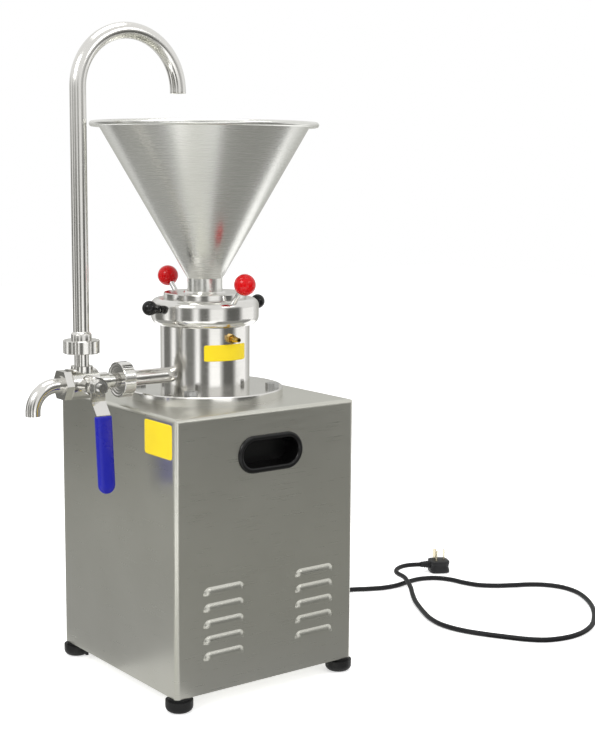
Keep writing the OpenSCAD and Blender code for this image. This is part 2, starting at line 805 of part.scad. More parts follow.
// Valve body: barrel, inlet neck with its union collar, stub with the riser's liner, stem boss
module valve_body() {
    collar_y = nut_reach - lip_t - face_fit;
    liner_top = nut_lip_z - collar_t - 2*face_fit - gasket_t - line_z;
    liner_l = nut_l - lip_t - collar_t - gasket_t - 2;
    stub_flare = 15;
    flare_h = 24;
    neck_l = valve_reach - barrel_half - collar_y;
    shoulder_l = neck_l/2;
    shoulder_r = 12.5;
    color("gainsboro") translate([0, valve_y, line_z]) difference() {
        union() {
            translate([0, -barrel_out, 0]) rotate([-90, 0, 0])
                cylinder(d = barrel_d, h = barrel_out + barrel_half);
            rotate([-90, 0, 0]) cylinder(r = shoulder_r, h = barrel_half + shoulder_l);
            rotate([-90, 0, 0]) cylinder(d = inlet_d, h = valve_reach - collar_y);
            translate([0, valve_reach - collar_y, 0]) rotate([-90, 0, 0]) cylinder(r = collar_r, h = collar_t);
            cylinder(r = stub_flare, h = flare_h);
            cylinder(d = stub_d, h = liner_top);
            translate([0, 0, liner_top - liner_l]) cylinder(d = liner_d, h = liner_l);
            rotate([0, 90, 0]) cylinder(d = gland_af + 4, h = boss_l);
        }
        translate([0, -barrel_out - over, 0]) rotate([-90, 0, 0])
            cylinder(r = chamber_r, h = barrel_out + barrel_half - 2 + over);
        rotate([-90, 0, 0]) cylinder(d = port_d, h = valve_reach);
        cylinder(d = port_d, h = liner_top + over);
        rotate([0, 90, 0]) cylinder(d = stem_d + 2*run_fit, h = boss_l + over);
    }
}

// Hexagon end cap that holds the ball and carries the spout
module valve_cap() {
    spigot = barrel_out - barrel_half;
    color("gainsboro") along_outlet(valve_y - barrel_out) difference() {
        union() {
            translate([0, 0, -spigot]) cylinder(r = chamber_r - run_fit, h = spigot);
            hex(cap_af, cap_l - cap_collar);
            cylinder(d = spout_d + 6, h = cap_l);
        }
        translate([0, 0, -spigot - over]) cylinder(d = port_d, h = spigot + cap_l + 2*over);
        translate([0, 0, cap_l/2]) cylinder(d = spout_d + 2*run_fit, h = cap_l);
    }
}

// Two white seats that the ball turns in
module valve_seats() {
    color("white") translate([0, valve_y, line_z]) for (side = [0, 1]) mirror([0, side, 0]) difference() {
        rotate([-90, 0, 0]) translate([0, 0, barrel_half - (1 - side)*2 - seat_l])
            tube(chamber_r - run_fit, port_d/2, seat_l);
        sphere(d = valve_ball_d + 2*run_fit);
    }
}

module stem_gland() {
    color("gainsboro") translate([boss_l, valve_y, line_z]) rotate([0, 90, 0]) difference() {
        hex(gland_af, gland_l);
        translate([0, 0, -over]) cylinder(d = stem_d + 2*run_fit, h = gland_l + 2*over);
    }
}

// Bent spout: straight run, quarter bend, short straight end
module spout() {
    start_y = valve_y - barrel_out - cap_l/2;
    run_l = cap_l/2 + spout_run;
    color("gainsboro") translate([0, start_y, line_z]) {
        rotate([90, 0, 0]) tube(spout_d/2, spout_bore, run_l);
        translate([0, -run_l, -spout_bend]) rotate([0, -90, 0]) rotate([0, 0, -90])
            rotate_extrude(angle = 90) translate([spout_bend, 0]) difference() {
                circle(spout_d/2);
                circle(spout_bore);
            }
        translate([0, -run_l - spout_bend, -spout_bend - spout_tail])
            tube(spout_d/2, spout_bore, spout_tail);
    }
}

// Ball with a through bore and a side branch, so that a quarter turn changes the outlet
module valve_ball() {
    slot_x = valve_ball_d/2 - 6;
    color("whitesmoke") translate([0, valve_y, line_z]) difference() {
        sphere(d = valve_ball_d);
        cylinder(d = port_d, h = valve_ball_d, center = true);
        rotate([-90, 0, 0]) cylinder(d = port_d, h = valve_ball_d);
        translate([slot_x, 0, 0]) rotate([0, 90, 0]) cylinder(d = stem_d + 2*run_fit, h = valve_ball_d);
    }
}

module valve_stem() {
    stem_start = valve_ball_d/2 - 6 + run_fit;
    color("gainsboro") translate([stem_start, valve_y, line_z]) rotate([0, 90, 0])
        cylinder(d = stem_d, h = stem_end - stem_start);
}

// Side view of the lever: a strip of the given thickness from one drop below the stem to another
function lever_line(drop) = drop < lever_bend ? lever_x
    : drop < lever_knee ? lever_x + lever_crank*(drop - lever_bend)/(lever_knee - lever_bend)
    : lever_x + lever_crank + lever_flare*(drop - lever_knee)/(lever_l - lever_knee);
module lever_strip(drops, inner, outer, width) {
    rotate([90, 0, 0]) linear_extrude(width, center = true) polygon(concat(
        [for (d = drops) [lever_line(d) + inner, -d]],
        [for (k = [len(drops) - 1:-1:0]) [lever_line(drops[k]) + outer, -drops[k]]]));
}

// Cranked lever plate with a round head on the stem
module valve_lever() {
    tip_r = lever_w/2;
    color("gainsboro") translate([0, valve_y, line_z]) difference() {
        intersection() {
            lever_strip([-lever_head_r, lever_bend, lever_knee, lever_l], 0, lever_t, 2*lever_head_r);
            rotate([90, 0, 90]) linear_extrude(stem_end + lever_l) {
                circle(lever_head_r);
                translate([-lever_w/2, tip_r - lever_l]) square([lever_w, lever_l - tip_r]);
                translate([0, tip_r - lever_l]) circle(tip_r);
            }
        }
        translate([lever_x - over, 0, 0]) rotate([0, 90, 0])
            cylinder(d = stem_d + 2*run_fit, h = lever_t + 2*over);
    }
}

// Vinyl grip pulled over the lever, with a slot for the plate
module lever_sleeve() {
    wall = (sleeve_t - lever_t)/2;
    end = lever_l + wall;
    tip_r = sleeve_w/2;
    slot_r = lever_w/2 + run_fit;
    color([0.1, 0.15, 0.6]) translate([0, valve_y, line_z]) difference() {
        intersection() {
            lever_strip([sleeve_top, end], -wall, lever_t + wall, sleeve_w);
            rotate([90, 0, 90]) linear_extrude(stem_end + lever_l) {
                translate([-tip_r, tip_r - end]) square([sleeve_w, end - tip_r]);
                translate([0, tip_r - end]) circle(tip_r);
            }
        }
        intersection() {
            lever_strip([lever_bend, lever_knee, lever_l + run_fit], -run_fit, lever_t + run_fit, sleeve_w);
            rotate([90, 0, 90]) linear_extrude(stem_end + lever_l) {
                translate([-slot_r, lever_w/2 - lever_l]) square([2*slot_r, lever_l]);
                translate([0, lever_w/2 - lever_l]) circle(slot_r);
            }
        }
    }
}

module lever_nut() {
    color("whitesmoke") translate([lever_x + lever_t, valve_y, line_z]) rotate([0, 90, 0]) difference() {
        hex(stem_nut_af, stem_nut_l);
        translate([0, 0, -over]) cylinder(d = stem_d + 2*run_fit, h = stem_nut_l + 2*over);
    }
}

// Return pipe: collar and ferrule in the union, riser, arch and a short straight end
module gooseneck() {
    collar_z = nut_lip_z - face_fit - collar_t;
    ferrule_top = riser_nut_z + nut_l + ferrule_h;
    color("gainsboro") translate([0, valve_y, 0]) {
        rotate_extrude() polygon([
            [tube_bore, collar_z], [collar_r, collar_z], [collar_r, collar_z + collar_t],
            [ferrule_d/2, collar_z + collar_t], [ferrule_d/2, ferrule_top - 3],
            [tube_r, ferrule_top], [tube_r, arch_z], [tube_bore, arch_z]]);
        translate([0, arch_r, arch_z]) rotate([90, 0, -90])
            rotate_extrude(angle = 180) translate([arch_r, 0]) difference() {
                circle(tube_r);
                circle(tube_bore);
            }
        translate([0, 2*arch_r, arch_z - arch_tail]) tube(tube_r, tube_bore, arch_tail);
    }
}

// Thin tube that leads a leak at the shaft seal out under the cabinet
module drain_tube() {
    color([0.85, 0.85, 0.8]) sweep(spline(drain_route, 3), drain_d/2, 8, [1, -1, 0]);
}

// Motor

// Finned barrel
module motor_barrel() {
    fin_t = 2.5;
    color("slategray") translate([0, 0, motor_foot]) linear_extrude(motor_l) difference() {
        union() {
            circle(d = motor_d);
            for (k = [0:fins - 1]) rotate(360*k/fins)
                translate([motor_d/2 - 2, -fin_t/2]) square([fin_h + 2, fin_t]);
        }
        circle(d = core_d + 2*run_fit);
    }
}

// Upper end shield with the mounting flange and the upper bearing's seat
module motor_flange() {
    seat = bearing_top_d/2 + run_fit;
    color("slategray") difference() {
        rotate_extrude() polygon([
            [spindle_top_d/2 + 1, plate_z], [motor_flange_d/2, plate_z], [motor_flange_d/2, motor_top],
            [seat + hub_wall, motor_top], [seat + hub_wall, bearing_top_z], [seat, bearing_top_z],
            [seat, plate_z - bearing_cover], [spindle_top_d/2 + 1, plate_z - bearing_cover]]);
        translate([0, 0, motor_top - over]) rotate([0, 0, 45]) on_diagonals(motor_pcd)
            cylinder(d = motor_bolt_d + 0.5, h = motor_flange_t + 2*over);
    }
}

module motor_bolts() {
    color("whitesmoke") rotate([0, 0, 45]) on_diagonals(motor_pcd) {
        translate([0, 0, motor_top - bolt_head]) hex(motor_bolt_af, bolt_head);
        translate([0, 0, motor_top]) cylinder(d = motor_bolt_d, h = motor_flange_t + plate_t);
    }
}

// Lower end shield with the lower bearing's seat
module rear_shield() {
    seat = bearing_low_d/2 + run_fit;
    z = motor_foot - shield_t;
    color("slategray") rotate_extrude() polygon([
        [spindle_low_d/2 + 1, z], [motor_d/2 + fin_h, z], [motor_d/2 + fin_h, motor_foot],
        [seat + hub_wall, motor_foot], [seat + hub_wall, bearing_low_z + bearing_w],
        [seat, bearing_low_z + bearing_w], [seat, bearing_low_z], [spindle_low_d/2 + 1, bearing_low_z]]);
}

module stator_core() {
    color("gray") translate([0, 0, core_z])
        tube(core_d/2, rotor_core_d/2 + air_gap, core_h);
}

// Winding heads above and below the stator core
module windings() {
    r_in = rotor_core_d/2 + winding_inset;
    r_out = core_d/2 - winding_inset;
    color("peru") for (z = [core_z - winding_h, core_z + core_h]) translate([0, 0, z]) rotate_extrude()
        translate([(r_in + r_out)/2, winding_h/2]) round_rect(r_out - r_in, winding_h, winding_inset);
}

module bearings() {
    color("lightgray") {
        translate([0, 0, bearing_top_z]) tube(bearing_top_d/2, spindle_top_d/2 + run_fit, bearing_w);
        translate([0, 0, bearing_low_z]) tube(bearing_low_d/2, spindle_low_d/2 + run_fit, bearing_w);
    }
}

// Sheet cup round the fan with air slots in its floor
module fan_cover() {
    r = motor_d/2 + fin_h;
    top = motor_foot - shield_t;
    slot_w = 6;
    color("dimgray") difference() {
        rotate_extrude() {
            ring(r - fan_cover_wall, r, top - fan_cover_h, fan_cover_h);
            ring(0, r, top - fan_cover_h, fan_cover_wall);
        }
        for (k = [0:23]) rotate([0, 0, 15*k]) translate([28, -slot_w/2, top - fan_cover_h - over])
            cube([r - 28 - 14, slot_w, fan_cover_wall + 2*over]);
    }
}

// Terminal box on the motor's side
module terminal_box() {
    z = core_z + (core_h - terminal_h)/2;
    color("slategray") difference() {
        translate([-terminal_w/2, 0, z]) cube([terminal_w, motor_d/2 + fin_h + terminal_out, terminal_h]);
        translate([0, 0, z - over]) cylinder(r = motor_d/2 + fin_h + run_fit, h = terminal_h + 2*over);
    }
}

module rotor_core() {
    color("gray") translate([0, 0, core_z]) tube(rotor_core_d/2, spindle_d/2 + run_fit, core_h);
}

// Radial fan under the lower bearing
module cooling_fan() {
    hub_r = fan_shaft_d/2 + 6;
    tip_r = motor_d/2 + fin_h - fan_cover_wall - fan_clear;
    disc_t = 3;
    color([0.2, 0.2, 0.2]) translate([0, 0, fan_z]) difference() {
        union() {
            cylinder(r = hub_r, h = fan_h);
            translate([0, 0, fan_h - disc_t]) cylinder(r = tip_r, h = disc_t);
            for (k = [0:fan_blades - 1]) rotate([0, 0, 360*k/fan_blades])
                translate([hub_r - 1, -1, 0]) cube([tip_r - hub_r, 2, fan_h - disc_t]);
        }
        translate([0, 0, -over]) cylinder(d = fan_shaft_d + 2*run_fit, h = fan_h + 2*over);
    }
}

// Shaft seal and spindle

module seal_seat() {
    color("ivory") translate([0, 0, flange_top + spigot_h - seal_seat_h])
        tube(seal_bore/2 - run_fit, seal_d/2 + 0.3, seal_seat_h);
}
module seal_head() {
    z = flange_top + spigot_h + face_fit;
    color("gray") rotate_extrude() polygon([
        [seal_d/2 + run_fit, z], [seal_head_d/2 - 3, z], [seal_head_d/2 - 3, z + 4],
        [seal_head_d/2, z + 4], [seal_head_d/2, z + seal_head_h], [seal_d/2 + run_fit, z + seal_head_h]]);
}

// One-piece spindle from the fan to the rotor's nut
module spindle() {
    color("lightgray") rotate_extrude() polygon([
        [0, spindle_foot], [fan_shaft_d/2, spindle_foot], [fan_shaft_d/2, bearing_low_z],
        [spindle_low_d/2, bearing_low_z], [spindle_low_d/2, bearing_low_z + bearing_w + 2],
        [spindle_d/2, bearing_low_z + bearing_w + 2], [spindle_d/2, bearing_top_z - 2],
        [spindle_top_d/2, bearing_top_z - 2], [spindle_top_d/2, plate_z], [seal_d/2, plate_z],
        [seal_d/2, rotor_z], [rotor_bore/2, rotor_z], [rotor_bore/2, rotor_top],
        [thread_d/2, rotor_top], [thread_d/2, rotor_top + thread_l], [0, rotor_top + thread_l]]);
}

// Cuts the slanted grooves between teeth into a cone; the grooves lie across its surface
module tooth_grooves(slant) {
    mid_r = (cone_d + throat_d)/4;
    for (k = [0:teeth - 1]) rotate([0, 0, 360*k/teeth])
        translate([mid_r, 0, stator_z + cone_h/2]) rotate([slant, 0, 0]) rotate([0, -cone_slope, 0])
            cube([2*groove_depth, groove_w, 2*cone_h], center = true);
}

// Toothed cone on the spindle
module grinding_rotor() {
    color("lightgray") difference() {
        rotate_extrude() polygon([
            [rotor_bore/2 + run_fit, rotor_z], [rotor_hub_d/2, rotor_z],
            [rotor_hub_d/2, stator_z - 2*rotor_rim], [rotor_cone_d/2, stator_z - rotor_rim],
            [rotor_cone_d/2, stator_z], [rotor_throat_d/2, rotor_top],
            [rotor_bore/2 + run_fit, rotor_top]]);
        intersection() {
            tooth_grooves(groove_slant);
            translate([0, 0, stator_z - rotor_rim - over])
                cylinder(d = 2*cone_d, h = cone_h + rotor_rim + 2*over);
        }
    }
}

// Toothed ring round the rotor, guided in the body
module grinding_stator() {
    r = stator_d/2 - run_fit;
    color("lightgray") difference() {
        rotate_extrude() difference() {
            polygon([[cone_d/2, stator_z], [r, stator_z], [r, stator_top], [throat_d/2, stator_top],
                [throat_d/2, rotor_top]]);
            for (z = [stator_z + oring_inset, jacket_z + jacket_h + oring_inset])
                translate([r - oring_d - 0.1, z - oring_groove/2]) square([oring_d + over, oring_groove]);
        }
        intersection() {
            tooth_grooves(-groove_slant);
            translate([0, 0, stator_z - over]) cylinder(d = stator_d - 10, h = cone_h + over);
        }
    }
}

module stator_orings() {
    r = stator_d/2 - run_fit - oring_d/2 - 0.05;
    color([0.1, 0.1, 0.1]) for (z = [stator_z + oring_inset, jacket_z + jacket_h + oring_inset])
        translate([0, 0, z]) rotate_extrude() translate([r, 0]) circle(d = oring_d);
}

// Nut on the spindle with three blades that push the product into the teeth
module impeller_nut() {
    hub_r = 13;
    blade_r = throat_d/2 - 4;
    blade_h = throat_h - 3;
    blade_t = 3;
    blade_lean = 25;
    color("lightgray") translate([0, 0, rotor_top]) difference() {
        union() {
            cylinder(r = hub_r, h = impeller_h - 5);
            translate([0, 0, impeller_h - 5]) cylinder(r1 = hub_r, r2 = hub_r - 5, h = 5);
            for (a = [0, 120, 240]) rotate([0, 0, a]) translate([hub_r - 3, 0, blade_h/2 + 2])
                rotate([blade_lean, 0, 0]) translate([0, -blade_t/2, -blade_h/2])
                    cube([blade_r - hub_r, blade_t, blade_h]);
        }
        translate([0, 0, -over]) cylinder(d = thread_d + 2*run_fit, h = thread_l + run_fit + over);
    }
}

// Adjusting ring, levers and lock screws

// Places the children on a lever's axis, Z along the rod, the origin on the ring's shoulder
module on_levers() {
    base_r = ring_d/2 - 7;
    for (a = [0, 180]) rotate([0, 0, a]) translate([base_r, 0, ring_top - 4])
        rotate([0, rod_lean, 0]) children();
}

// Places the children on a lock screw's axis, Z pointing out of the ring
module on_lock(a) {
    rotate([0, 0, a]) translate([ring_d/2, 0, ring_z + lock_h])
        rotate([0, 90 - lock_tilt, 0]) children();
}

module adjusting_ring() {
    r_in = neck_d/2 + run_fit;
    r_out = ring_d/2;
    step_z = neck_top + collar_step/2;
    color("gainsboro") difference() {
        rotate_extrude() {
            ring(r_in, r_out - ring_low_r, ring_z, ring_h);
            ring(r_in, r_out, ring_z + ring_low_r, ring_h - ring_low_r - ring_top_r);
            ring(r_in, r_out - ring_top_r, ring_z + ring_low_r, ring_h - ring_low_r);
            translate([r_out - ring_low_r, ring_z + ring_low_r]) half_disc(ring_low_r);
            translate([r_out - ring_top_r, ring_top - ring_top_r]) half_disc(ring_top_r);
            ring(collar_d/2 + run_fit, r_in + over, step_z, ring_top - step_z);
        }
        on_levers() translate([0, 0, -rod_seat]) cylinder(d = rod_d + 2*run_fit, h = rod_seat + rod_l);
        for (a = [90, 270]) on_lock(a) translate([0, 0, -ring_d/4])
            cylinder(d = stud_d + 2*run_fit, h = ring_d/4 + over);
    }
}

module lever_rods() {
    color("whitesmoke") on_levers() translate([0, 0, -rod_seat])
        cylinder(d = rod_d, h = rod_seat + rod_l);
}

module lever_balls() {
    color("red") on_levers() difference() {
        translate([0, 0, rod_l]) sphere(d = ball_d);
        cylinder(d = rod_d + 2*run_fit, h = rod_l);
    }
}

// Stud of a lock screw; its tip stays just clear of the body's neck
module lock_stud(a) {
    tip = (ring_d/2 - neck_d/2 - 0.3)/cos(lock_tilt) - stud_d/2*tan(lock_tilt);
    color("whitesmoke") on_lock(a) translate([0, 0, -tip]) cylinder(d = stud_d, h = tip + knob_l - 4);
}

// Tapered knob with a ball end
module lock_knob(a) {
    r = knob_d/2;
    start = 0.3 + knob_neck_d/2*tan(lock_tilt);
    color([0.06, 0.06, 0.06]) on_lock(a) difference() {
        rotate_extrude() {
            polygon([[0, start], [knob_neck_d/2, start], [knob_neck_d/2, start + 3],
                [r*0.94, knob_l - r*1.34], [0, knob_l - r*1.34]]);
            translate([0, knob_l - r]) intersection() {
                circle(r);
                translate([0, -r*0.34]) square([r, 2*r]);
            }
        }
        cylinder(d = stud_d + 2*run_fit, h = knob_l - 4 + run_fit);
    }
}
module lock_stud_front() { lock_stud(270); }
module lock_knob_front() { lock_knob(270); }
module lock_stud_back() { lock_stud(90); }
module lock_knob_back() { lock_knob(90); }

// Feed plate that carries the stator below and the hopper above
module feed_plate() {
    edge = 1;
    boss = 2;
    hub_r = stator_d/2 - 2*run_fit;
    neck_r = hop_neck_d/2;
    step_z = neck_top + collar_step;
    bore = neck_r - hop_wall;
    color("gainsboro") rotate_extrude() polygon([
        [bore, stator_top], [hub_r, stator_top], [hub_r, step_z], [collar_d/2, step_z],
        [collar_d/2, feed_z], [feed_d/2, feed_z], [feed_d/2, feed_top - edge],
        [feed_d/2 - edge, feed_top], [neck_r + 4 + boss, feed_top], [neck_r + 4, feed_top + boss],
        [neck_r + run_fit, feed_top + boss], [neck_r + run_fit, feed_top - hop_seat],
        [bore, feed_top - hop_seat]]);
}

// Spun hopper: neck, cone, flat lip and rolled rim
module hopper() {
    neck_r = hop_neck_d/2;
    bead_r = hop_bead/2;
    rim_r = hop_d/2 - bead_r;
    cone_r = rim_r - hop_lip;
    slope = atan((cone_r - neck_r)/hop_cone_h);
    skin = hop_wall/cos(slope);
    color("silver") rotate_extrude() {
        polygon([
            [neck_r - hop_wall, feed_top - hop_seat], [neck_r, feed_top - hop_seat], [neck_r, hop_z],
            [cone_r, rim_z], [rim_r, rim_z], [rim_r, rim_z + hop_wall], [cone_r - skin, rim_z + hop_wall],
            [neck_r - hop_wall, hop_z]]);
        translate([rim_r, rim_z + hop_wall - bead_r]) circle(bead_r);
    }
}

// Mains cord and plug

module power_cord() {
    color([0.12, 0.12, 0.12]) sweep(cord_line, cord_r, 10, [0, 0, 1]);
}

// Places the children at the cord's end, X along the plug, on the floor
module on_plug() {
    translate([plug_entry[0], plug_entry[1], 0]) rotate([0, 0, plug_turn]) children();
}

// Moulded plug standing on its back, with a tapered boot for the cord
module mains_plug() {
    color([0.1, 0.1, 0.1]) on_plug() {
        translate([plug_boot_l + plug_l/2, 0, 0]) linear_extrude(plug_h)
            round_rect(plug_l, plug_w, plug_edge_r);
        translate([0, 0, plug_entry_z]) rotate([0, 90, 0])
            cylinder(r1 = cord_r + 1, r2 = cord_r + 3, h = plug_boot_l + over);
    }
}

// Three flat pins
module plug_pins() {
    color("gainsboro") on_plug() translate([plug_boot_l + plug_l/2, 0, plug_h])
        for (p = [[9, 0, 0], [-6, 8, 30], [-6, -8, -30]])
            translate([p[0], p[1], pin_l/2]) rotate([0, 0, 90 + p[2]])
                cube([pin_w, pin_t, pin_l], center = true);
}

cabinet_shell();
bottom_pan();
rubber_feet();
hand_grip_right();
hand_grip_left();
cable_gland();
motor_plate();
base_flange();
flange_bolts();
mill_body();
water_nipples();
outlet_pipe();
outlet_nut();
outlet_gasket();
valve_body();
valve_cap();
valve_seats();
stem_gland();
spout();
riser_nut();
riser_gasket();
drain_tube();
motor_barrel();
motor_flange();
rear_shield();
stator_core();
windings();
bearings();
fan_cover();
terminal_box();
motor_bolts();
seal_seat();
power_cord();
mains_plug();
plug_pins();
spindle();
grinding_rotor();
impeller_nut();
rotor_core();
cooling_fan();
seal_head();
adjusting_ring();
lever_rods();
lever_balls();
lock_stud_front();
lock_knob_front();
lock_stud_back();
lock_knob_back();
feed_plate();
grinding_stator();
hopper();
stator_orings();
valve_ball();
valve_stem();
valve_lever();
lever_sleeve();
lever_nut();
gooseneck();
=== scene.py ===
import json
import math

import bpy
import numpy as np
from mathutils import Matrix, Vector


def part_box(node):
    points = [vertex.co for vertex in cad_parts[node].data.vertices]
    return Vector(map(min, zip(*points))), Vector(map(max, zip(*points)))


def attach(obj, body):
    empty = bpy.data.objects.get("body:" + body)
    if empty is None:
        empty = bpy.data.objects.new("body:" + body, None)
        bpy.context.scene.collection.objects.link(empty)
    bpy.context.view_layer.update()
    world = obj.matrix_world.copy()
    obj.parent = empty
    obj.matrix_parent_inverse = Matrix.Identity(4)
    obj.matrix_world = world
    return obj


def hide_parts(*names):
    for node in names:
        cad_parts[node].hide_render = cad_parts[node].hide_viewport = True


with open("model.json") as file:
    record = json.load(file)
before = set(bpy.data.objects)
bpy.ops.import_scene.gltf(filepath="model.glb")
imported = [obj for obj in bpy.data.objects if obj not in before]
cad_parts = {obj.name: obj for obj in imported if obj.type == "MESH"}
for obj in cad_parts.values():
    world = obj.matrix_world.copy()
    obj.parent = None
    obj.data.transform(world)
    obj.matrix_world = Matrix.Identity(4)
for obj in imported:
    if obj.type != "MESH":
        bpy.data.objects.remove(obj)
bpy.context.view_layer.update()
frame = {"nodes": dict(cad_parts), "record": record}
scene = bpy.context.scene
nodes = frame["nodes"]


# Camera at the viewing angle of the photograph

CAMERA_TURN = (52.77, 8.16, 0.39)
CAMERA_PLACE = (1.71759, -1.13833, 0.73323)
FOCAL_PIXELS, PHOTO_ROWS = 1444.4, 737
SENSOR_MM = 36.0


def placed(name, data, axes, place):
    """Object at a place whose own axes point along the three given directions."""
    turn = Matrix(np.column_stack(axes).tolist()).to_4x4()
    turn.translation = place
    thing = bpy.data.objects.new(name, data)
    thing.matrix_world = turn
    scene.collection.objects.link(thing)
    return thing


def camera_axes(azimuth, elevation, roll):
    """Right, up and back directions: a turn about Z, a tilt above the level, then a small roll."""
    a, e, r = (math.radians(v) for v in (azimuth, elevation, roll))
    back = np.array([math.sin(a) * math.cos(e), -math.cos(a) * math.cos(e), math.sin(e)])
    level = np.array([math.cos(a), math.sin(a), 0.0])
    up = np.cross(back, level)
    right = level * math.cos(r) + up * math.sin(r)
    return right, up * math.cos(r) - level * math.sin(r), back


def place_camera():
    """Puts the camera where the photograph was taken; the focal length is in pixels of its rows."""
    camera = bpy.data.cameras.new("camera")
    camera.sensor_fit = "VERTICAL"
    camera.sensor_height = SENSOR_MM
    camera.lens = FOCAL_PIXELS / PHOTO_ROWS * SENSOR_MM
    scene.camera = placed("camera", camera, camera_axes(*CAMERA_TURN), CAMERA_PLACE)


place_camera()
scene.view_settings.view_transform = "Standard"


# Surfaces from arrays

def angles(count):
    """Even angles round a circle, in one row."""
    return np.linspace(0, 2 * np.pi, count, endpoint=False)[None, :]


def grid_faces(rows, columns, around=True):
    """Quads of a grid of points, row after row; around closes each row on itself."""
    i = np.arange(rows - 1)[:, None]
    j = np.arange(columns if around else columns - 1)[None, :]
    k = (j + 1) % columns
    quads = np.stack([i * columns + j, i * columns + k, (i + 1) * columns + k, (i + 1) * columns + j], -1)
    return quads.reshape(-1, 4)


def capped_faces(rows, columns):
    """Quads of a grid that closes round each row, with a flat cap on its first and its last row."""
    last = (rows - 1) * columns
    caps = [list(range(columns - 1, -1, -1)), list(range(last, last + columns))]
    return grid_faces(rows, columns).tolist() + caps


def ring_faces(rows, columns):
    """Quads of a grid that closes round each row and from the last row to the first."""
    last = (rows - 1) * columns
    joint = [[last + j, last + (j + 1) % columns, (j + 1) % columns, j] for j in range(columns)]
    return grid_faces(rows, columns).tolist() + joint


def turned_over(faces):
    """The same faces seen from their other side."""
    return [face[::-1] for face in faces]


def mesh_piece(name, points, faces, uv=None):
    """Smooth-shaded mesh object at the origin from an array of points and lists of faces."""
    mesh = bpy.data.meshes.new(name)
    corners = np.asarray(points, float).reshape(-1, 3).tolist()
    mesh.from_pydata(corners, [], [list(map(int, face)) for face in faces])
    if uv is not None:
        corner = np.zeros(len(mesh.loops), np.int32)
        mesh.loops.foreach_get("vertex_index", corner)
        layer = mesh.uv_layers.new(name="surface")
        layer.data.foreach_set("uv", np.asarray(uv, np.float32).reshape(-1, 2)[corner].ravel())
    mesh.polygons.foreach_set("use_smooth", np.ones(len(mesh.polygons), bool))
    mesh.update()
    piece = bpy.data.objects.new(name, mesh)
    scene.collection.objects.link(piece)
    return piece


def smooth_route(points, steps):
    """Catmull-Rom curve: each stretch between two points is the cubic that leaves and meets them
    along the line joining their neighbours."""
    p = np.asarray(points, float)
    q = np.vstack([p[:1], p, p[-1:]])
    t = (np.arange(steps) / steps)[None, :, None]
    a, b, c, d = (q[k:len(q) - 3 + k, None, :] for k in range(4))
    bend = (2 * a - 5 * b + 4 * c - d) * t**2 + (3 * b - a - 3 * c + d) * t**3
    curve = 0.5 * (2 * b + (c - a) * t + bend)
    return np.vstack([curve.reshape(-1, 3), p[-1:]])


def tube_surface(path, radius, sides):
    """Ring of radius r round each point of the path: p + r (cos a side + sin a over), where side is
    level and over completes the frame; UV runs round the ring and along the path in diameters."""
    heading = np.gradient(path, axis=0)
    heading /= np.linalg.norm(heading, axis=1)[:, None]
    side = np.cross(heading, [0, 0, 1.0])
    side /= np.linalg.norm(side, axis=1)[:, None]
    over = np.cross(side, heading)
    a = angles(sides)[..., None]
    points = path[:, None, :] + radius * (np.cos(a) * side[:, None, :] + np.sin(a) * over[:, None, :])
    step = np.linalg.norm(np.diff(path, axis=0), axis=1)
    along = np.concatenate([[0], np.cumsum(step)]) / (2 * radius)
    uv = np.stack(np.broadcast_arrays(a[..., 0] / (2 * np.pi), along[:, None]), -1)
    return points, uv


# Mains cord along the floor, on the same points as its solid

CORD_R = 0.004
CORD_STEPS, CORD_SIDES, HEADING_STEPS = 8, 16, 2
CORD_ROUTE = 0.001 * np.array([
    (-60, 150, 60), (-60, 169, 60), (-60, 185, 60), (-60, 203, 60), (-62.5, 225, 57), (-69, 247, 46),
    (-79, 267, 30), (-92, 287, 15), (-109, 309, 6), (-128, 334, 4), (-142, 361, 4), (-143, 391, 4),
    (-130, 418, 4), (-118, 446, 4), (-115, 475, 4), (-120, 505, 4), (-121, 534, 4), (-109, 560, 4),
    (-86, 575, 4), (-59, 581, 4), (-33, 592, 4), (-12, 614, 4), (3, 640, 4), (17, 667, 4), (37, 689, 4),
    (64, 701, 4), (94, 700, 4), (122, 689, 4), (148, 673, 4), (171, 655, 4), (193, 634, 4), (213, 611, 4),
    (231, 586, 4), (244, 559, 4), (251, 530, 4), (250, 500, 4), (240, 471, 4), (220, 449, 4), (195, 432, 4),
    (169, 416, 4), (142, 402, 4), (114, 393, 4), (84, 391, 4), (54, 398, 4), (27, 410, 4), (0, 424, 4),
    (-27, 439, 4.5), (-52, 455, 7), (-76, 472, 10), (-100, 486, 12.5), (-121, 496, 14),
    (-145.2, 502.1, 14), (-159.2, 511.3, 14), (-168.9, 525, 14), (-173.1, 541.2, 14),
    (-171.2, 556.3, 14), (-163.4, 572.7, 14)])


def cord_path(steps):
    """Smooth route that never dips below its lying height."""
    path = smooth_route(CORD_ROUTE, steps)
    path[:, 2] = np.maximum(path[:, 2], CORD_R)
    return path


def make_cord():
    """Round tube along the route, closed by a flat cap at each end."""
    path = cord_path(CORD_STEPS)
    points, uv = tube_surface(path, CORD_R, CORD_SIDES)
    cord = mesh_piece("mains_cord", points, turned_over(capped_faces(*points.shape[:2])), uv)
    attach(cord, "frame")
    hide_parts("power_cord")
    return cord


# Moulded plug on the cord's end

PLUG_L, PLUG_W, PLUG_H = 0.036, 0.036, 0.022
PLUG_ROWS, PLUG_SIDES = 40, 64
PLUG_EDGE, EDGE_DRAW = 0.14, 0.16
WAIST_AT, WAIST_SPAN, WAIST_DRAW = 0.52, 0.2, 0.07
WAIST_GROOVES, GROOVE_DRAW = 7, 0.035
BOOT_L, BOOT_SINK, BOOT_WALL, BOOT_FLARE = 0.016, 0.001, 0.001, 0.002
BOOT_ROWS, BOOT_SIDES = 49, 32
BOOT_GROOVES, BOOT_GROOVE_DEEP, BOOT_PLAIN_FROM = 4, 0.0007, 0.93
ENTRY_Z = 0.014


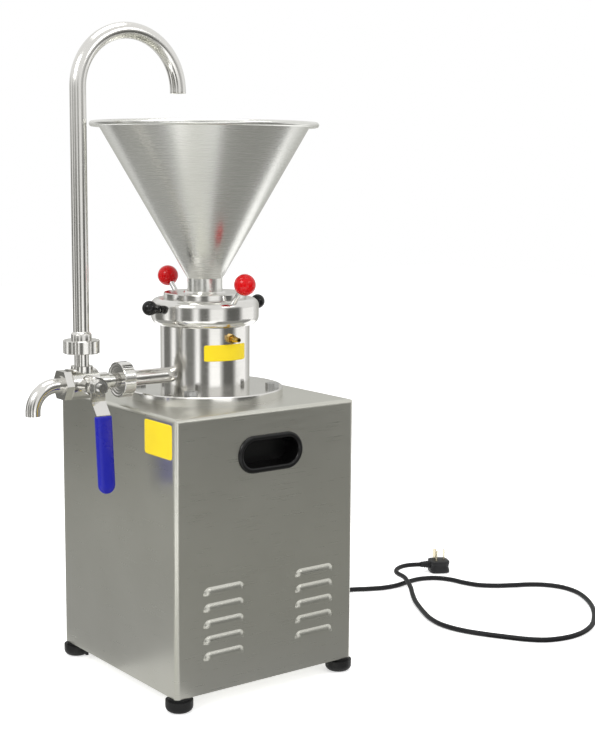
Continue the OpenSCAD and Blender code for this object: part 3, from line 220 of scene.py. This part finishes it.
def plug_body():
    """Upright loft: at each height a superellipse |x/l|^4 + |y/w|^4 = 1 whose half sides draw in at a
    grooved waist and over rounded edges at the top and the bottom."""
    t = np.linspace(0, 1, PLUG_ROWS)
    edge = 1 - np.maximum(0, np.abs(2 * t - 1) - 1 + PLUG_EDGE) ** 2 / PLUG_EDGE**2 * EDGE_DRAW
    off = t - WAIST_AT
    waist = 1 - WAIST_DRAW * np.exp(-(off / WAIST_SPAN) ** 2)
    wave = np.maximum(0, np.cos(off * 2 * np.pi * WAIST_GROOVES))
    grooves = 1 - GROOVE_DRAW * wave * (np.abs(off) < WAIST_SPAN)
    half = (edge * waist * grooves)[:, None]
    a = angles(PLUG_SIDES)
    corner = (np.abs(np.cos(a)) ** 4 + np.abs(np.sin(a)) ** 4) ** -0.25
    x = BOOT_L + PLUG_L / 2 + PLUG_L / 2 * half * corner * np.cos(a)
    y = PLUG_W / 2 * half * corner * np.sin(a)
    z = np.broadcast_to((t * PLUG_H)[:, None], x.shape)
    return np.stack([x, y, z], -1)


def plug_boot():
    """Turned sleeve round the cord: a cone from the cord's end into the plug with shallow grooves."""
    t = np.linspace(0, 1, BOOT_ROWS)
    wave = np.maximum(0, np.sin(t * 2 * np.pi * BOOT_GROOVES))
    grooves = BOOT_GROOVE_DEEP * wave * (t < BOOT_PLAIN_FROM)
    r = (CORD_R + BOOT_WALL + BOOT_FLARE * t - grooves)[:, None]
    a = angles(BOOT_SIDES)
    x = np.broadcast_to(t[:, None] * (BOOT_L + BOOT_SINK), (BOOT_ROWS, BOOT_SIDES))
    return np.stack([x, -r * np.cos(a), ENTRY_Z + r * np.sin(a)], -1)


def make_plug():
    """Body and boot in one piece, turned along the cord's last stretch."""
    path = cord_path(HEADING_STEPS)
    heading = path[-1] - path[-2]
    heading /= np.linalg.norm(heading)
    points, faces = [], []
    for rings in (plug_body(), plug_boot()):
        first = sum(map(len, points))
        faces += [[first + corner for corner in face] for face in capped_faces(*rings.shape[:2])]
        x, y, z = np.moveaxis(rings.reshape(-1, 3), 1, 0)
        points.append(np.stack([path[-1, 0] + x * heading[0] - y * heading[1],
                                path[-1, 1] + x * heading[1] + y * heading[0], z], -1))
    plug = mesh_piece("moulded_plug", np.vstack(points), faces)
    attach(plug, "frame")
    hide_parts("mains_plug")
    return plug


moulded_plug = make_plug()
mains_cord = make_cord()


# Dipped vinyl grip of the valve's lever

LEVER_Y, LEVER_AXIS_Z = -0.200, 0.4335
GRIP_TOP, GRIP_END = 0.037, 0.141
GRIP_W, GRIP_T = 0.0125, 0.0045
GRIP_ROWS, GRIP_SIDES, ROW_CROWDING = 60, 48, 1.2
LIP_L, LIP_DRAW = 0.002, 0.1
TIP_CLOSED = 0.9999
CRANK_X, CRANK_DROP = 0.0565, 0.036
FLARE, FLARE_L = 0.008, 0.102


def lever_offset(drop):
    """Distance of the plate's middle from the mill's middle plane: the crank, then a slight flare."""
    return CRANK_X + FLARE * (drop - CRANK_DROP) / FLARE_L


def make_sleeve():
    """Sections |x/t|^3 + |y/w|^3 = 1 down the lever, closest at the lower end, where the half width
    follows a half circle and the half thickness closes; both draw in at the upper lip."""
    share = np.sin(np.linspace(0, np.pi / 2, GRIP_ROWS)) ** ROW_CROWDING
    drop = GRIP_TOP + (GRIP_END - GRIP_TOP) * share
    tip = np.clip((drop - GRIP_END + GRIP_W) / GRIP_W, 0, TIP_CLOSED)
    lip = 1 - LIP_DRAW * np.clip(1 - (drop - GRIP_TOP) / LIP_L, 0, 1) ** 2
    half_w = (GRIP_W * np.sqrt(1 - tip**2) * lip)[:, None]
    half_t = (GRIP_T * np.sqrt(1 - tip**4) * lip)[:, None]
    a = angles(GRIP_SIDES)
    x = half_t * np.sign(np.cos(a)) * np.abs(np.cos(a)) ** (2 / 3)
    y = half_w * np.sign(np.sin(a)) * np.abs(np.sin(a)) ** (2 / 3)
    z = np.broadcast_to(LEVER_AXIS_Z - drop[:, None], x.shape)
    rings = np.stack([x + lever_offset(drop)[:, None], y + LEVER_Y, z], -1)
    sleeve = mesh_piece("vinyl_grip", rings, turned_over(capped_faces(*rings.shape[:2])))
    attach(sleeve, "valve_lever_body")
    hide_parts("lever_sleeve")
    return sleeve


vinyl_grip = make_sleeve()


# Return pipe with its ferrule

PIPE_Y = -0.200
PIPE_R, PIPE_BORE = 0.011, 0.0095
PIPE_SIDES, RISER_ROWS, ARCH_ROWS = 64, 40, 121
ARCH_Z, ARCH_R, ARCH_TAIL = 0.828, 0.078, 0.003
TAIL_SHARES = (0.3, 0.8, 1.0)
FERRULE_R, FERRULE_TOP, SLANT_L = 0.014, 0.504, 0.003
COLLAR_R, COLLAR_Z, COLLAR_T = 0.0180, 0.48645, 0.003
EDGE, RIM_EDGE, SOFT_EDGE, STEP_RISE = 0.0003, 0.0002, 0.0004, 0.0001
ABOVE_FERRULE, RISER_FROM, BELOW_ARCH = 0.001, 0.01, 0.002


def pipe_stations():
    """Middle line, its direction and the outer radius: collar, ferrule with a slanted shoulder, the
    straight riser, the arch y = Y + R (1 - cos f), z = Z + R sin f, and a short tail."""
    shoulder = COLLAR_Z + COLLAR_T
    slant = FERRULE_TOP - SLANT_L
    foot = [(COLLAR_Z, COLLAR_R - EDGE), (COLLAR_Z + EDGE, COLLAR_R), (shoulder - EDGE, COLLAR_R),
            (shoulder, COLLAR_R - EDGE), (shoulder + STEP_RISE, FERRULE_R),
            (shoulder + SOFT_EDGE, FERRULE_R), (slant - SOFT_EDGE, FERRULE_R),
            (slant, FERRULE_R - RIM_EDGE), (FERRULE_TOP - SOFT_EDGE, PIPE_R + SOFT_EDGE),
            (FERRULE_TOP, PIPE_R), (FERRULE_TOP + ABOVE_FERRULE, PIPE_R)]
    levels = np.linspace(FERRULE_TOP + RISER_FROM, ARCH_Z - BELOW_ARCH, RISER_ROWS)
    riser = [(z, PIPE_R) for z in levels]
    turn = np.linspace(0, np.pi, ARCH_ROWS)
    z, radius = np.array(foot + riser).T
    tail = ARCH_Z - np.array(TAIL_SHARES) * ARCH_TAIL
    y = np.concatenate([np.full(len(z), PIPE_Y), PIPE_Y + ARCH_R * (1 - np.cos(turn)),
                        np.full(len(tail), PIPE_Y + 2 * ARCH_R)])
    slope = np.concatenate([np.zeros(len(z)), turn, np.full(len(tail), np.pi)])
    height = np.concatenate([z, ARCH_Z + ARCH_R * np.sin(turn), tail])
    radius = np.concatenate([radius, np.full(len(turn) + len(tail) - 1, PIPE_R), [PIPE_R - RIM_EDGE]])
    return y, height, slope, radius


def make_pipe():
    """Rings of the outer surface up to the open end, then rings of the bore back to the collar."""
    y, z, slope, radius = pipe_stations()
    inner = np.full(len(y), PIPE_BORE)
    inner[-1] += RIM_EDGE
    y, z, slope = (np.concatenate([row, row[::-1]])[:, None] for row in (y, z, slope))
    radius = np.concatenate([radius, inner[::-1]])[:, None]
    a = angles(PIPE_SIDES)
    rings = np.stack([radius * np.cos(a), y + radius * np.sin(a) * np.cos(slope),
                      z - radius * np.sin(a) * np.sin(slope)], -1)
    pipe = mesh_piece("return_pipe", rings, ring_faces(*rings.shape[:2]))
    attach(pipe, "gooseneck_body")
    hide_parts("gooseneck")
    return pipe


return_pipe = make_pipe()


# Union nut of the outlet line, with a turned recess round the collar

NUT_D, NUT_EDGE, NUT_SIDES = 0.0500, 0.001, 360
NUT_GROOVES, NUT_GROOVE_R = 8, 0.003
LIP_BORE, LIP_T, LINER_BORE = 0.01410, 0.0035, 0.02005
RECESS_DEEP, RECESS_STEP = 0.0024, 0.0012
RECESS_R, STEP_R, LEDGE_R, MOUTH_R = 0.0170, 0.0174, 0.0205, 0.0216
CORNER_FLAT = 0.00015
GROOVE_SPREAD = 0.02


def bevelled(outline, size):
    """Closed outline whose corners become short flats, with a second point beside each so that the
    faces next to a corner stay flat."""
    points = []
    for toward in (np.roll(outline, 1, 0), np.roll(outline, -1, 0)):
        step = toward - outline
        step *= size / np.linalg.norm(step, axis=1)[:, None]
        points.append([outline + 2 * step, outline + step])
    (far_back, near_back), (far_on, near_on) = points
    return np.stack([far_back, near_back, near_on, far_on], 1).reshape(-1, 2)


def make_nut():
    """Outline turned about the outlet's axis: r(s) from the bore over a stepped recess to the rim; the
    rim is cut by round grooves, r = c cos d - sqrt(g^2 - c^2 sin^2 d) at an angle d from a groove,
    where the rows stay a little apart so that no face closes up."""
    low, high = (np.array(corner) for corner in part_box("outlet_nut"))
    axis_x, axis_z = (low[0] + high[0]) / 2, (low[2] + high[2]) / 2
    length = high[1] - low[1]
    outer = NUT_D / 2
    outline = np.array([
        (LIP_BORE, RECESS_DEEP), (RECESS_R, RECESS_DEEP), (STEP_R, RECESS_STEP), (LEDGE_R, RECESS_STEP),
        (MOUTH_R, 0), (outer - NUT_EDGE, 0), (outer, NUT_EDGE), (outer, length - NUT_EDGE),
        (outer - NUT_EDGE, length), (LINER_BORE, length), (LINER_BORE, LIP_T), (LIP_BORE, LIP_T)])
    r, s = bevelled(outline, CORNER_FLAT).T[:, :, None]
    a = angles(NUT_SIDES)
    pitch = 2 * np.pi / NUT_GROOVES
    off = (a + pitch / 2) % pitch - pitch / 2
    centre = outer + NUT_GROOVE_R / 3
    aside = centre * np.sin(off)
    chord = np.maximum(NUT_GROOVE_R**2 - aside**2, 0)
    groove = np.where(np.abs(aside) < NUT_GROOVE_R, centre * np.cos(off) - np.sqrt(chord), np.inf)
    radius = np.minimum(r, groove + GROOVE_SPREAD * (r - outer))
    rings = np.stack([axis_x + radius * np.cos(a), np.broadcast_to(low[1] + s, radius.shape),
                      axis_z + radius * np.sin(a)], -1)
    nut = mesh_piece("turned_nut", rings, turned_over(ring_faces(*rings.shape[:2])))
    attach(nut, "frame")
    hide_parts("outlet_nut")
    return nut


turned_nut = make_nut()


# Blank label plates

LABEL_T, LABEL_SINK = 0.0004, 0.00005
LABEL_RIM = 0.07
LABEL_CORNER, LABEL_GRID = 16, 33
CABINET_Y, CABINET_LABEL_X, CABINET_LABEL_Z = -0.150, 0.1135, 0.3685
CABINET_LABEL_W, CABINET_LABEL_H = 0.0345, 0.0235
BODY_R, BODY_LABEL_Z, BODY_LABEL_H = 0.064, 0.4675, 0.0115
BODY_LABEL_TURN, BODY_LABEL_SPAN = -4, 31


def label_plate(name, place):
    """Thin plate from a grid of two shares: its face stands off the surface and falls to it
    within the rim, with round corners; place turns shares and height into points, and a narrow
    side joins the face to the back."""
    n = LABEL_GRID
    across, up = np.meshgrid(np.linspace(-1, 1, n), np.linspace(-1, 1, n))
    largest = np.maximum(np.abs(across), np.abs(up))
    norm = (np.abs(across) ** LABEL_CORNER + np.abs(up) ** LABEL_CORNER) ** (1 / LABEL_CORNER)
    pull = norm / np.maximum(largest, 1e-9)
    pull = np.where(largest > 0, pull, 1.0)
    u, v = across / pull, up / pull
    height = LABEL_T * np.clip((1 - largest) / LABEL_RIM, 0, 1)
    front = place(u, v, height)
    back = place(u, v, np.full_like(u, -LABEL_SINK))
    faces = grid_faces(n, n, False)
    index = np.arange(n * n).reshape(n, n)
    rim = np.concatenate([index[0, :-1], index[:-1, -1], index[-1, :0:-1], index[:0:-1, 0]])
    onward = np.roll(rim, -1)
    sides = np.stack([onward, rim, rim + n * n, onward + n * n], -1)
    plate = mesh_piece(name, np.vstack([front.reshape(-1, 3), back.reshape(-1, 3)]),
                       np.vstack([faces, faces[:, ::-1] + n * n, sides]).tolist(),
                       np.tile(np.stack([across, up], -1).reshape(-1, 2) / 2 + 0.5, (2, 1)))
    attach(plate, "frame")
    return plate


def on_cabinet(u, v, height):
    """Plate near the top corner of the outlet side."""
    x = CABINET_LABEL_X + CABINET_LABEL_W * u
    return np.stack([x, CABINET_Y - height, CABINET_LABEL_Z + CABINET_LABEL_H * v], -1)


def on_body(u, v, height):
    """Plate bent round the mill body under the water nipple."""
    a = np.radians(BODY_LABEL_TURN + BODY_LABEL_SPAN * u)
    r = BODY_R + height
    return np.stack([r * np.cos(a), r * np.sin(a), BODY_LABEL_Z + BODY_LABEL_H * v], -1)


labels = [label_plate("cabinet_label", on_cabinet), label_plate("body_label", on_body)]


# Materials

def color_sockets(sockets):
    """The colour sockets of a mixing node, which also has some for numbers and vectors."""
    return [socket for socket in sockets if socket.type == "RGBA"]


class Finish:
    """Node tree of one material around its Principled shader."""

    def __init__(self, name, color, roughness, metallic, **sockets):
        self.material = bpy.data.materials.new(name)
        self.material.use_nodes = True
        self.tree = self.material.node_tree
        self.shader = self.tree.nodes["Principled BSDF"]
        self.shader.inputs["Base Color"].default_value = (*color, 1.0)
        self.shader.inputs["Roughness"].default_value = roughness
        self.shader.inputs["Metallic"].default_value = metallic
        for socket, value in sockets.items():
            self.shader.inputs[socket.replace("_", " ")].default_value = value
        self.place = self.add("ShaderNodeTexCoord").outputs["Object"]

    def add(self, kind, **settings):
        """Adds a node and sets its properties."""
        node = self.tree.nodes.new(kind)
        for key, value in settings.items():
            setattr(node, key, value)
        return node

    def join(self, out, socket):
        """Links an output to an input."""
        self.tree.links.new(out, socket)

    def noise(self, scale, detail, stretch=(1, 1, 1)):
        """Noise on Object coordinates, stretched along the axes."""
        mapping = self.add("ShaderNodeMapping")
        mapping.inputs["Scale"].default_value = stretch
        self.join(self.place, mapping.inputs["Vector"])
        texture = self.add("ShaderNodeTexNoise")
        texture.inputs["Scale"].default_value = scale
        texture.inputs["Detail"].default_value = detail
        self.join(mapping.outputs["Vector"], texture.inputs["Vector"])
        return texture.outputs["Fac"]

    def spread(self, fac, low, high):
        """Maps a pattern from its middle range to low and high."""
        node = self.add("ShaderNodeMapRange")
        node.inputs["From Min"].default_value = 0.3
        node.inputs["From Max"].default_value = 0.7
        node.inputs["To Min"].default_value = low
        node.inputs["To Max"].default_value = high
        self.join(fac, node.inputs["Value"])
        return node.outputs["Result"]

    def vary_color(self, fac, dark, light):
        """Base colour between two colours by a pattern."""
        node = self.add("ShaderNodeMix", data_type="RGBA")
        for socket, color in zip(color_sockets(node.inputs), (dark, light)):
            socket.default_value = (*color, 1.0)
        self.join(self.spread(fac, 0.0, 1.0), node.inputs["Factor"])
        self.join(color_sockets(node.outputs)[0], self.shader.inputs["Base Color"])

    def vary_roughness(self, fac, low, high):
        """Roughness between two values by a pattern."""
        self.join(self.spread(fac, low, high), self.shader.inputs["Roughness"])

    def bump(self, fac, distance, strength):
        """Surface relief from a pattern; distance in metres."""
        node = self.add("ShaderNodeBump")
        node.inputs["Distance"].default_value = distance
        node.inputs["Strength"].default_value = strength
        self.join(fac, node.inputs["Height"])
        self.join(node.outputs["Normal"], self.shader.inputs["Normal"])


def brushed_sheet(name, color, roughness, stretch, shade=0.02, relief=0.12, gloss=0.03):
    """Brushed stainless: fine grain drawn out along one direction, with soft cloudy smears."""
    finish = Finish(name, color, roughness, metallic=1.0)
    grain = finish.noise(scale=14.0, detail=4.0, stretch=stretch)
    cloud = finish.noise(scale=9.0, detail=3.0)
    dark = tuple(c - shade for c in color)
    light = tuple(c + shade for c in color)
    finish.vary_color(cloud, dark, light)
    finish.vary_roughness(grain, roughness - gloss, roughness + gloss)
    finish.bump(grain, distance=0.00004, strength=relief)
    return finish.material


def polished_steel(name, color, roughness, stretch):
    """Polished stainless with faint lines left by the turning tool and by wiping."""
    finish = Finish(name, color, roughness, metallic=1.0)
    lines = finish.noise(scale=20.0, detail=3.0, stretch=stretch)
    cloud = finish.noise(scale=14.0, detail=4.0)
    dark = tuple(c - 0.05 for c in color)
    finish.vary_color(cloud, dark, color)
    finish.vary_roughness(lines, roughness * 0.8, roughness * 1.25)
    finish.bump(lines, distance=0.00002, strength=0.12)
    return finish.material


def moulded(name, color, roughness, grain=900.0, relief=0.00003, shine=0.5):
    """Moulded rubber or plastic: fine even grain and slight changes of gloss."""
    finish = Finish(name, color, roughness, metallic=0.0, Specular_IOR_Level=shine)
    fine = finish.noise(scale=grain, detail=2.0)
    cloud = finish.noise(scale=25.0, detail=3.0)
    light = tuple(min(1.0, c * 1.08) for c in color)
    finish.vary_color(cloud, color, light)
    finish.vary_roughness(cloud, roughness * 0.95, min(1.0, roughness * 1.05))
    finish.bump(fine, distance=relief, strength=0.5)
    return finish.material


# Scales of the grain along the three axes: its lines run where the number is small
UPRIGHT = (60, 60, 1)
LEVEL = (1, 1, 60)
SPUN = (1, 1, 300)

# Each row: kind of finish, colour, roughness, then the settings of that kind in their order
FINISH_TABLE = {
    "cabinet_sheet": (brushed_sheet, (0.575, 0.572, 0.515), 0.30, LEVEL),
    "polished_stainless": (polished_steel, (0.72, 0.71, 0.68), 0.15, LEVEL),
    "spun_stainless": (brushed_sheet, (0.70, 0.70, 0.665), 0.27, SPUN, 0.012, 0.003, 0.006),
    "bright_bolts": (polished_steel, (0.75, 0.75, 0.74), 0.2, UPRIGHT),
    # Flange bolts: the bolt steel again, made darker as painted shade for where they sit low on the flange
    "dull_bolts": (polished_steel, (0.42, 0.42, 0.41), 0.28, UPRIGHT),
    "black_rubber": (moulded, (0.010, 0.010, 0.010), 0.5, 700.0, 0.00006, 0.25),
    "black_gloss": (moulded, (0.006, 0.006, 0.006), 0.18, 300.0, 0.000005, 0.3),
    "grip_black": (moulded, (0.003, 0.003, 0.003), 0.3, 400.0, 0.00001, 0.3),
    "black_plastic": (moulded, (0.014, 0.014, 0.015), 0.42, 900.0, 0.00003, 0.3),
    "cord_black": (moulded, (0.009, 0.009, 0.010), 0.5, 900.0, 0.00003, 0.22),
    "red_gloss": (moulded, (0.58, 0.002, 0.004), 0.1, 200.0, 0.000003, 0.3),
    "blue_vinyl": (moulded, (0.006, 0.008, 0.32), 0.28, 500.0, 0.00002, 0.4),
    "nipple_brass": (polished_steel, (0.66, 0.44, 0.13), 0.25, UPRIGHT),
    "pin_metal": (polished_steel, (0.72, 0.66, 0.50), 0.25, UPRIGHT),
    "white_polymer": (moulded, (0.78, 0.78, 0.74), 0.45),
    "motor_paint": (moulded, (0.16, 0.20, 0.24), 0.4, 500.0, 0.00008),
    "machined_steel": (polished_steel, (0.60, 0.60, 0.60), 0.25, LEVEL),
    "core_steel": (brushed_sheet, (0.25, 0.25, 0.26), 0.5, (1, 1, 200)),
    "winding_copper": (polished_steel, (0.50, 0.24, 0.10), 0.35, (90, 90, 1)),
    "seal_ceramic": (moulded, (0.80, 0.78, 0.70), 0.2),
    "label_yellow": (moulded, (0.90, 0.68, 0.012), 0.35, 600.0, 0.00001, 0.3),
}
FINISHES = {name: make(name, *settings) for name, (make, *settings) in FINISH_TABLE.items()}


def dress(piece, finish):
    """Gives a piece its material."""
    piece.data.materials.clear()
    piece.data.materials.append(FINISHES[finish])


for part in frame["record"]["subparts"]:
    dress(nodes[part["node"]], part["material_slot"])
for grip in ("hand_grip_right", "hand_grip_left"):
    dress(nodes[grip], "grip_black")
dress(nodes["drain_tube"], "cord_black")
# The flange bolts get the darker copy of the bolt steel, which is painted shade
dress(nodes["flange_bolts"], "dull_bolts")
dress(mains_cord, "cord_black")
dress(vinyl_grip, "blue_vinyl")
dress(return_pipe, "polished_stainless")
dress(turned_nut, "polished_stainless")
dress(moulded_plug, "black_plastic")
for plate in labels:
    dress(plate, "label_yellow")


# Floor and light

WALL_COLOR, CEILING_FROM = (0.34, 0.34, 0.33, 1), 0.75
FLOOR_HALF, FLOOR_DROP, FLOOR_GREY, FLOOR_GLOW = 6.0, 0.0003, 0.8, 0.55
FLAG_R, FLAG_H, FLAG_COLUMNS, FLAG_ROWS = 1.6, 1.25, 25, 3
CARD_CORE, CARD_FADE_FROM, CARD_BLUE = (0.22, 0.78), 0.5, 0.95
CARD_Z, UPPER_CARD_Z, CARD_GRID = 0.0006, 0.0009, 9


def seen_directly(tree):
    """One for rays from the camera, from mirrors and through glass, and zero for other rays."""
    path = tree.nodes.new("ShaderNodeLightPath")
    total = path.outputs["Is Camera Ray"]
    for kind in ("Is Glossy Ray", "Is Transmission Ray"):
        most = tree.nodes.new("ShaderNodeMath")
        most.operation = "MAXIMUM"
        tree.links.new(total, most.inputs[0])
        tree.links.new(path.outputs[kind], most.inputs[1])
        total = most.outputs["Value"]
    return total


def bare_material(name):
    """Material without a shader, and its node tree."""
    material = bpy.data.materials.new(name)
    material.use_nodes = True
    tree = material.node_tree
    tree.nodes.remove(tree.nodes["Principled BSDF"])
    return material, tree


def studio_world():
    """White surroundings for the camera and in mirrors; the light on matt surfaces comes from pale
    walls that darken towards the level under a white ceiling."""
    world = bpy.data.worlds.new("studio")
    world.use_nodes = True
    scene.world = world
    tree = world.node_tree
    background = tree.nodes["Background"]
    place = tree.nodes.new("ShaderNodeTexCoord")
    split = tree.nodes.new("ShaderNodeSeparateXYZ")
    tree.links.new(place.outputs["Generated"], split.inputs["Vector"])
    ramp = tree.nodes.new("ShaderNodeValToRGB")
    ramp.color_ramp.elements[0].position = 0.0
    ramp.color_ramp.elements[0].color = WALL_COLOR
    ramp.color_ramp.elements[1].position = CEILING_FROM
    ramp.color_ramp.elements[1].color = (1.0, 1.0, 1.0, 1)
    tree.links.new(split.outputs["Z"], ramp.inputs["Fac"])
    mix = tree.nodes.new("ShaderNodeMix")
    mix.data_type = "RGBA"
    colors = color_sockets(mix.inputs)
    tree.links.new(seen_directly(tree), mix.inputs["Factor"])
    tree.links.new(ramp.outputs["Color"], colors[0])
    colors[1].default_value = (1, 1, 1, 1)
    tree.links.new(color_sockets(mix.outputs)[0], background.inputs["Color"])
    background.inputs["Strength"].default_value = 1.0


def studio_floor():
    """Large white floor that keeps the object's shadow and otherwise runs into the white background."""
    corners = FLOOR_HALF * np.array([(-1, -1, 0), (1, -1, 0), (1, 1, 0), (-1, 1, 0)])
    floor = mesh_piece("floor", corners - (0, 0, FLOOR_DROP), [(0, 1, 2, 3)])
    material, tree = bare_material("floor_white")
    out = tree.nodes["Material Output"]
    matt = tree.nodes.new("ShaderNodeBsdfDiffuse")
    matt.inputs["Color"].default_value = (FLOOR_GREY, FLOOR_GREY, FLOOR_GREY, 1)
    glow = tree.nodes.new("ShaderNodeEmission")
    scale = tree.nodes.new("ShaderNodeMath")
    scale.operation = "MULTIPLY"
    scale.inputs[1].default_value = FLOOR_GLOW
    tree.links.new(seen_directly(tree), scale.inputs[0])
    tree.links.new(scale.outputs["Value"], glow.inputs["Strength"])
    both = tree.nodes.new("ShaderNodeAddShader")
    tree.links.new(matt.outputs["BSDF"], both.inputs[0])
    tree.links.new(glow.outputs["Emission"], both.inputs[1])
    tree.links.new(both.outputs["Shader"], out.inputs["Surface"])
    floor.data.materials.append(material)


def soft_light(name, place, aim, size, power):
    """Square soft lamp at a place, turned to its aim."""
    lamp = bpy.data.lights.new(name, "AREA")
    lamp.size = size
    lamp.energy = power
    back = np.array(place, float) - np.array(aim, float)
    back /= np.linalg.norm(back)
    right = np.cross([0, 0, 1.0], back)
    right /= np.linalg.norm(right)
    placed(name, lamp, (right, np.cross(back, right), back), place)


def mirror_card(name, points, faces, uv, level, ends):
    """Card that only mirrors see, so that polished steel has something dark to show; it fades to
    the grey of its ends at both sides and at the top."""
    card = mesh_piece(name, points, faces, uv)
    material, tree = bare_material(name)
    split = tree.nodes.new("ShaderNodeSeparateXYZ")
    tree.links.new(tree.nodes.new("ShaderNodeTexCoord").outputs["UV"], split.inputs["Vector"])
    ramp = tree.nodes.new("ShaderNodeValToRGB")
    tree.links.new(split.outputs["X"], ramp.inputs["Fac"])
    dark = (level, level, level * CARD_BLUE, 1)
    stops = ramp.color_ramp.elements
    stops[0].color = stops[1].color = (ends, ends, ends, 1)
    for share in CARD_CORE:
        stops.new(share).color = dark
    rise = tree.nodes.new("ShaderNodeMapRange")
    rise.inputs["From Min"].default_value = CARD_FADE_FROM
    tree.links.new(split.outputs["Y"], rise.inputs["Value"])
    blend = tree.nodes.new("ShaderNodeMix")
    blend.data_type = "RGBA"
    tree.links.new(rise.outputs["Result"], blend.inputs["Factor"])
    lower, upper = color_sockets(blend.inputs)
    tree.links.new(ramp.outputs["Color"], lower)
    upper.default_value = (ends, ends, ends, 1)
    glow = tree.nodes.new("ShaderNodeEmission")
    tree.links.new(color_sockets(blend.outputs)[0], glow.inputs["Color"])
    tree.links.new(glow.outputs["Emission"], tree.nodes["Material Output"].inputs["Surface"])
    card.data.materials.append(material)
    card.visible_camera = False
    card.visible_diffuse = False
    card.visible_shadow = False
    card.visible_transmission = False


def dark_flag(name, start, end, level):
    """Upright curved card round the object, between two bearings in degrees."""
    share = np.linspace(0, 1, FLAG_COLUMNS)[None, :]
    a = np.radians(start + (end - start) * share)
    rise = np.linspace(0, 1, FLAG_ROWS)[:, None]
    points = np.stack(np.broadcast_arrays(FLAG_R * np.cos(a), FLAG_R * np.sin(a), FLAG_H * rise), -1)
    uv = np.stack(np.broadcast_arrays(share, rise), -1)
    mirror_card(name, points, grid_faces(FLAG_ROWS, FLAG_COLUMNS, False).tolist(), uv, level, ends=1.0)


def floor_card(name, x, y, level, height=CARD_Z):
    """Flat card on the floor that a side of the cabinet mirrors."""
    share = np.linspace(0, 1, CARD_GRID)
    u, v = np.meshgrid(share, share)
    points = np.stack([x[0] + (x[1] - x[0]) * u, y[0] + (y[1] - y[0]) * v, np.full_like(u, height)], -1)
    faces = grid_faces(CARD_GRID, CARD_GRID, False).tolist()
    mirror_card(name, points, faces, np.stack([u, v], -1), level, ends=level)


studio_world()
studio_floor()
dark_flag("flag_outlet_side", -169, -125, 0.2)
dark_flag("flag_left", -115, -89, 0.22)
dark_flag("flag_left_front", -88, -56, 0.22)
dark_flag("flag_front", -48, -22, 0.18)
dark_flag("flag_right", 4, 52, 0.14)
dark_flag("flag_back", 90, 196, 0.55)
floor_card("floor_outlet_side", (-2.6, 0.2), (-1.5, -0.17), 0.44)
floor_card("floor_under_outlet", (-0.05, 0.65), (-0.6, -0.1), 0.78, UPPER_CARD_Z)
floor_card("floor_right", (0.17, 1.5), (-0.17, 2.2), 0.34)
soft_light("key_light", (0.6, -2.6, 2.2), (0, 0, 0.5), 1.4, 40)
soft_light("fill_light", (2.6, 0.9, 1.6), (0, 0, 0.4), 1.2, 18)
soft_light("top_light", (0.0, 0.0, 3.0), (0, 0.01, 0.0), 1.6, 22)
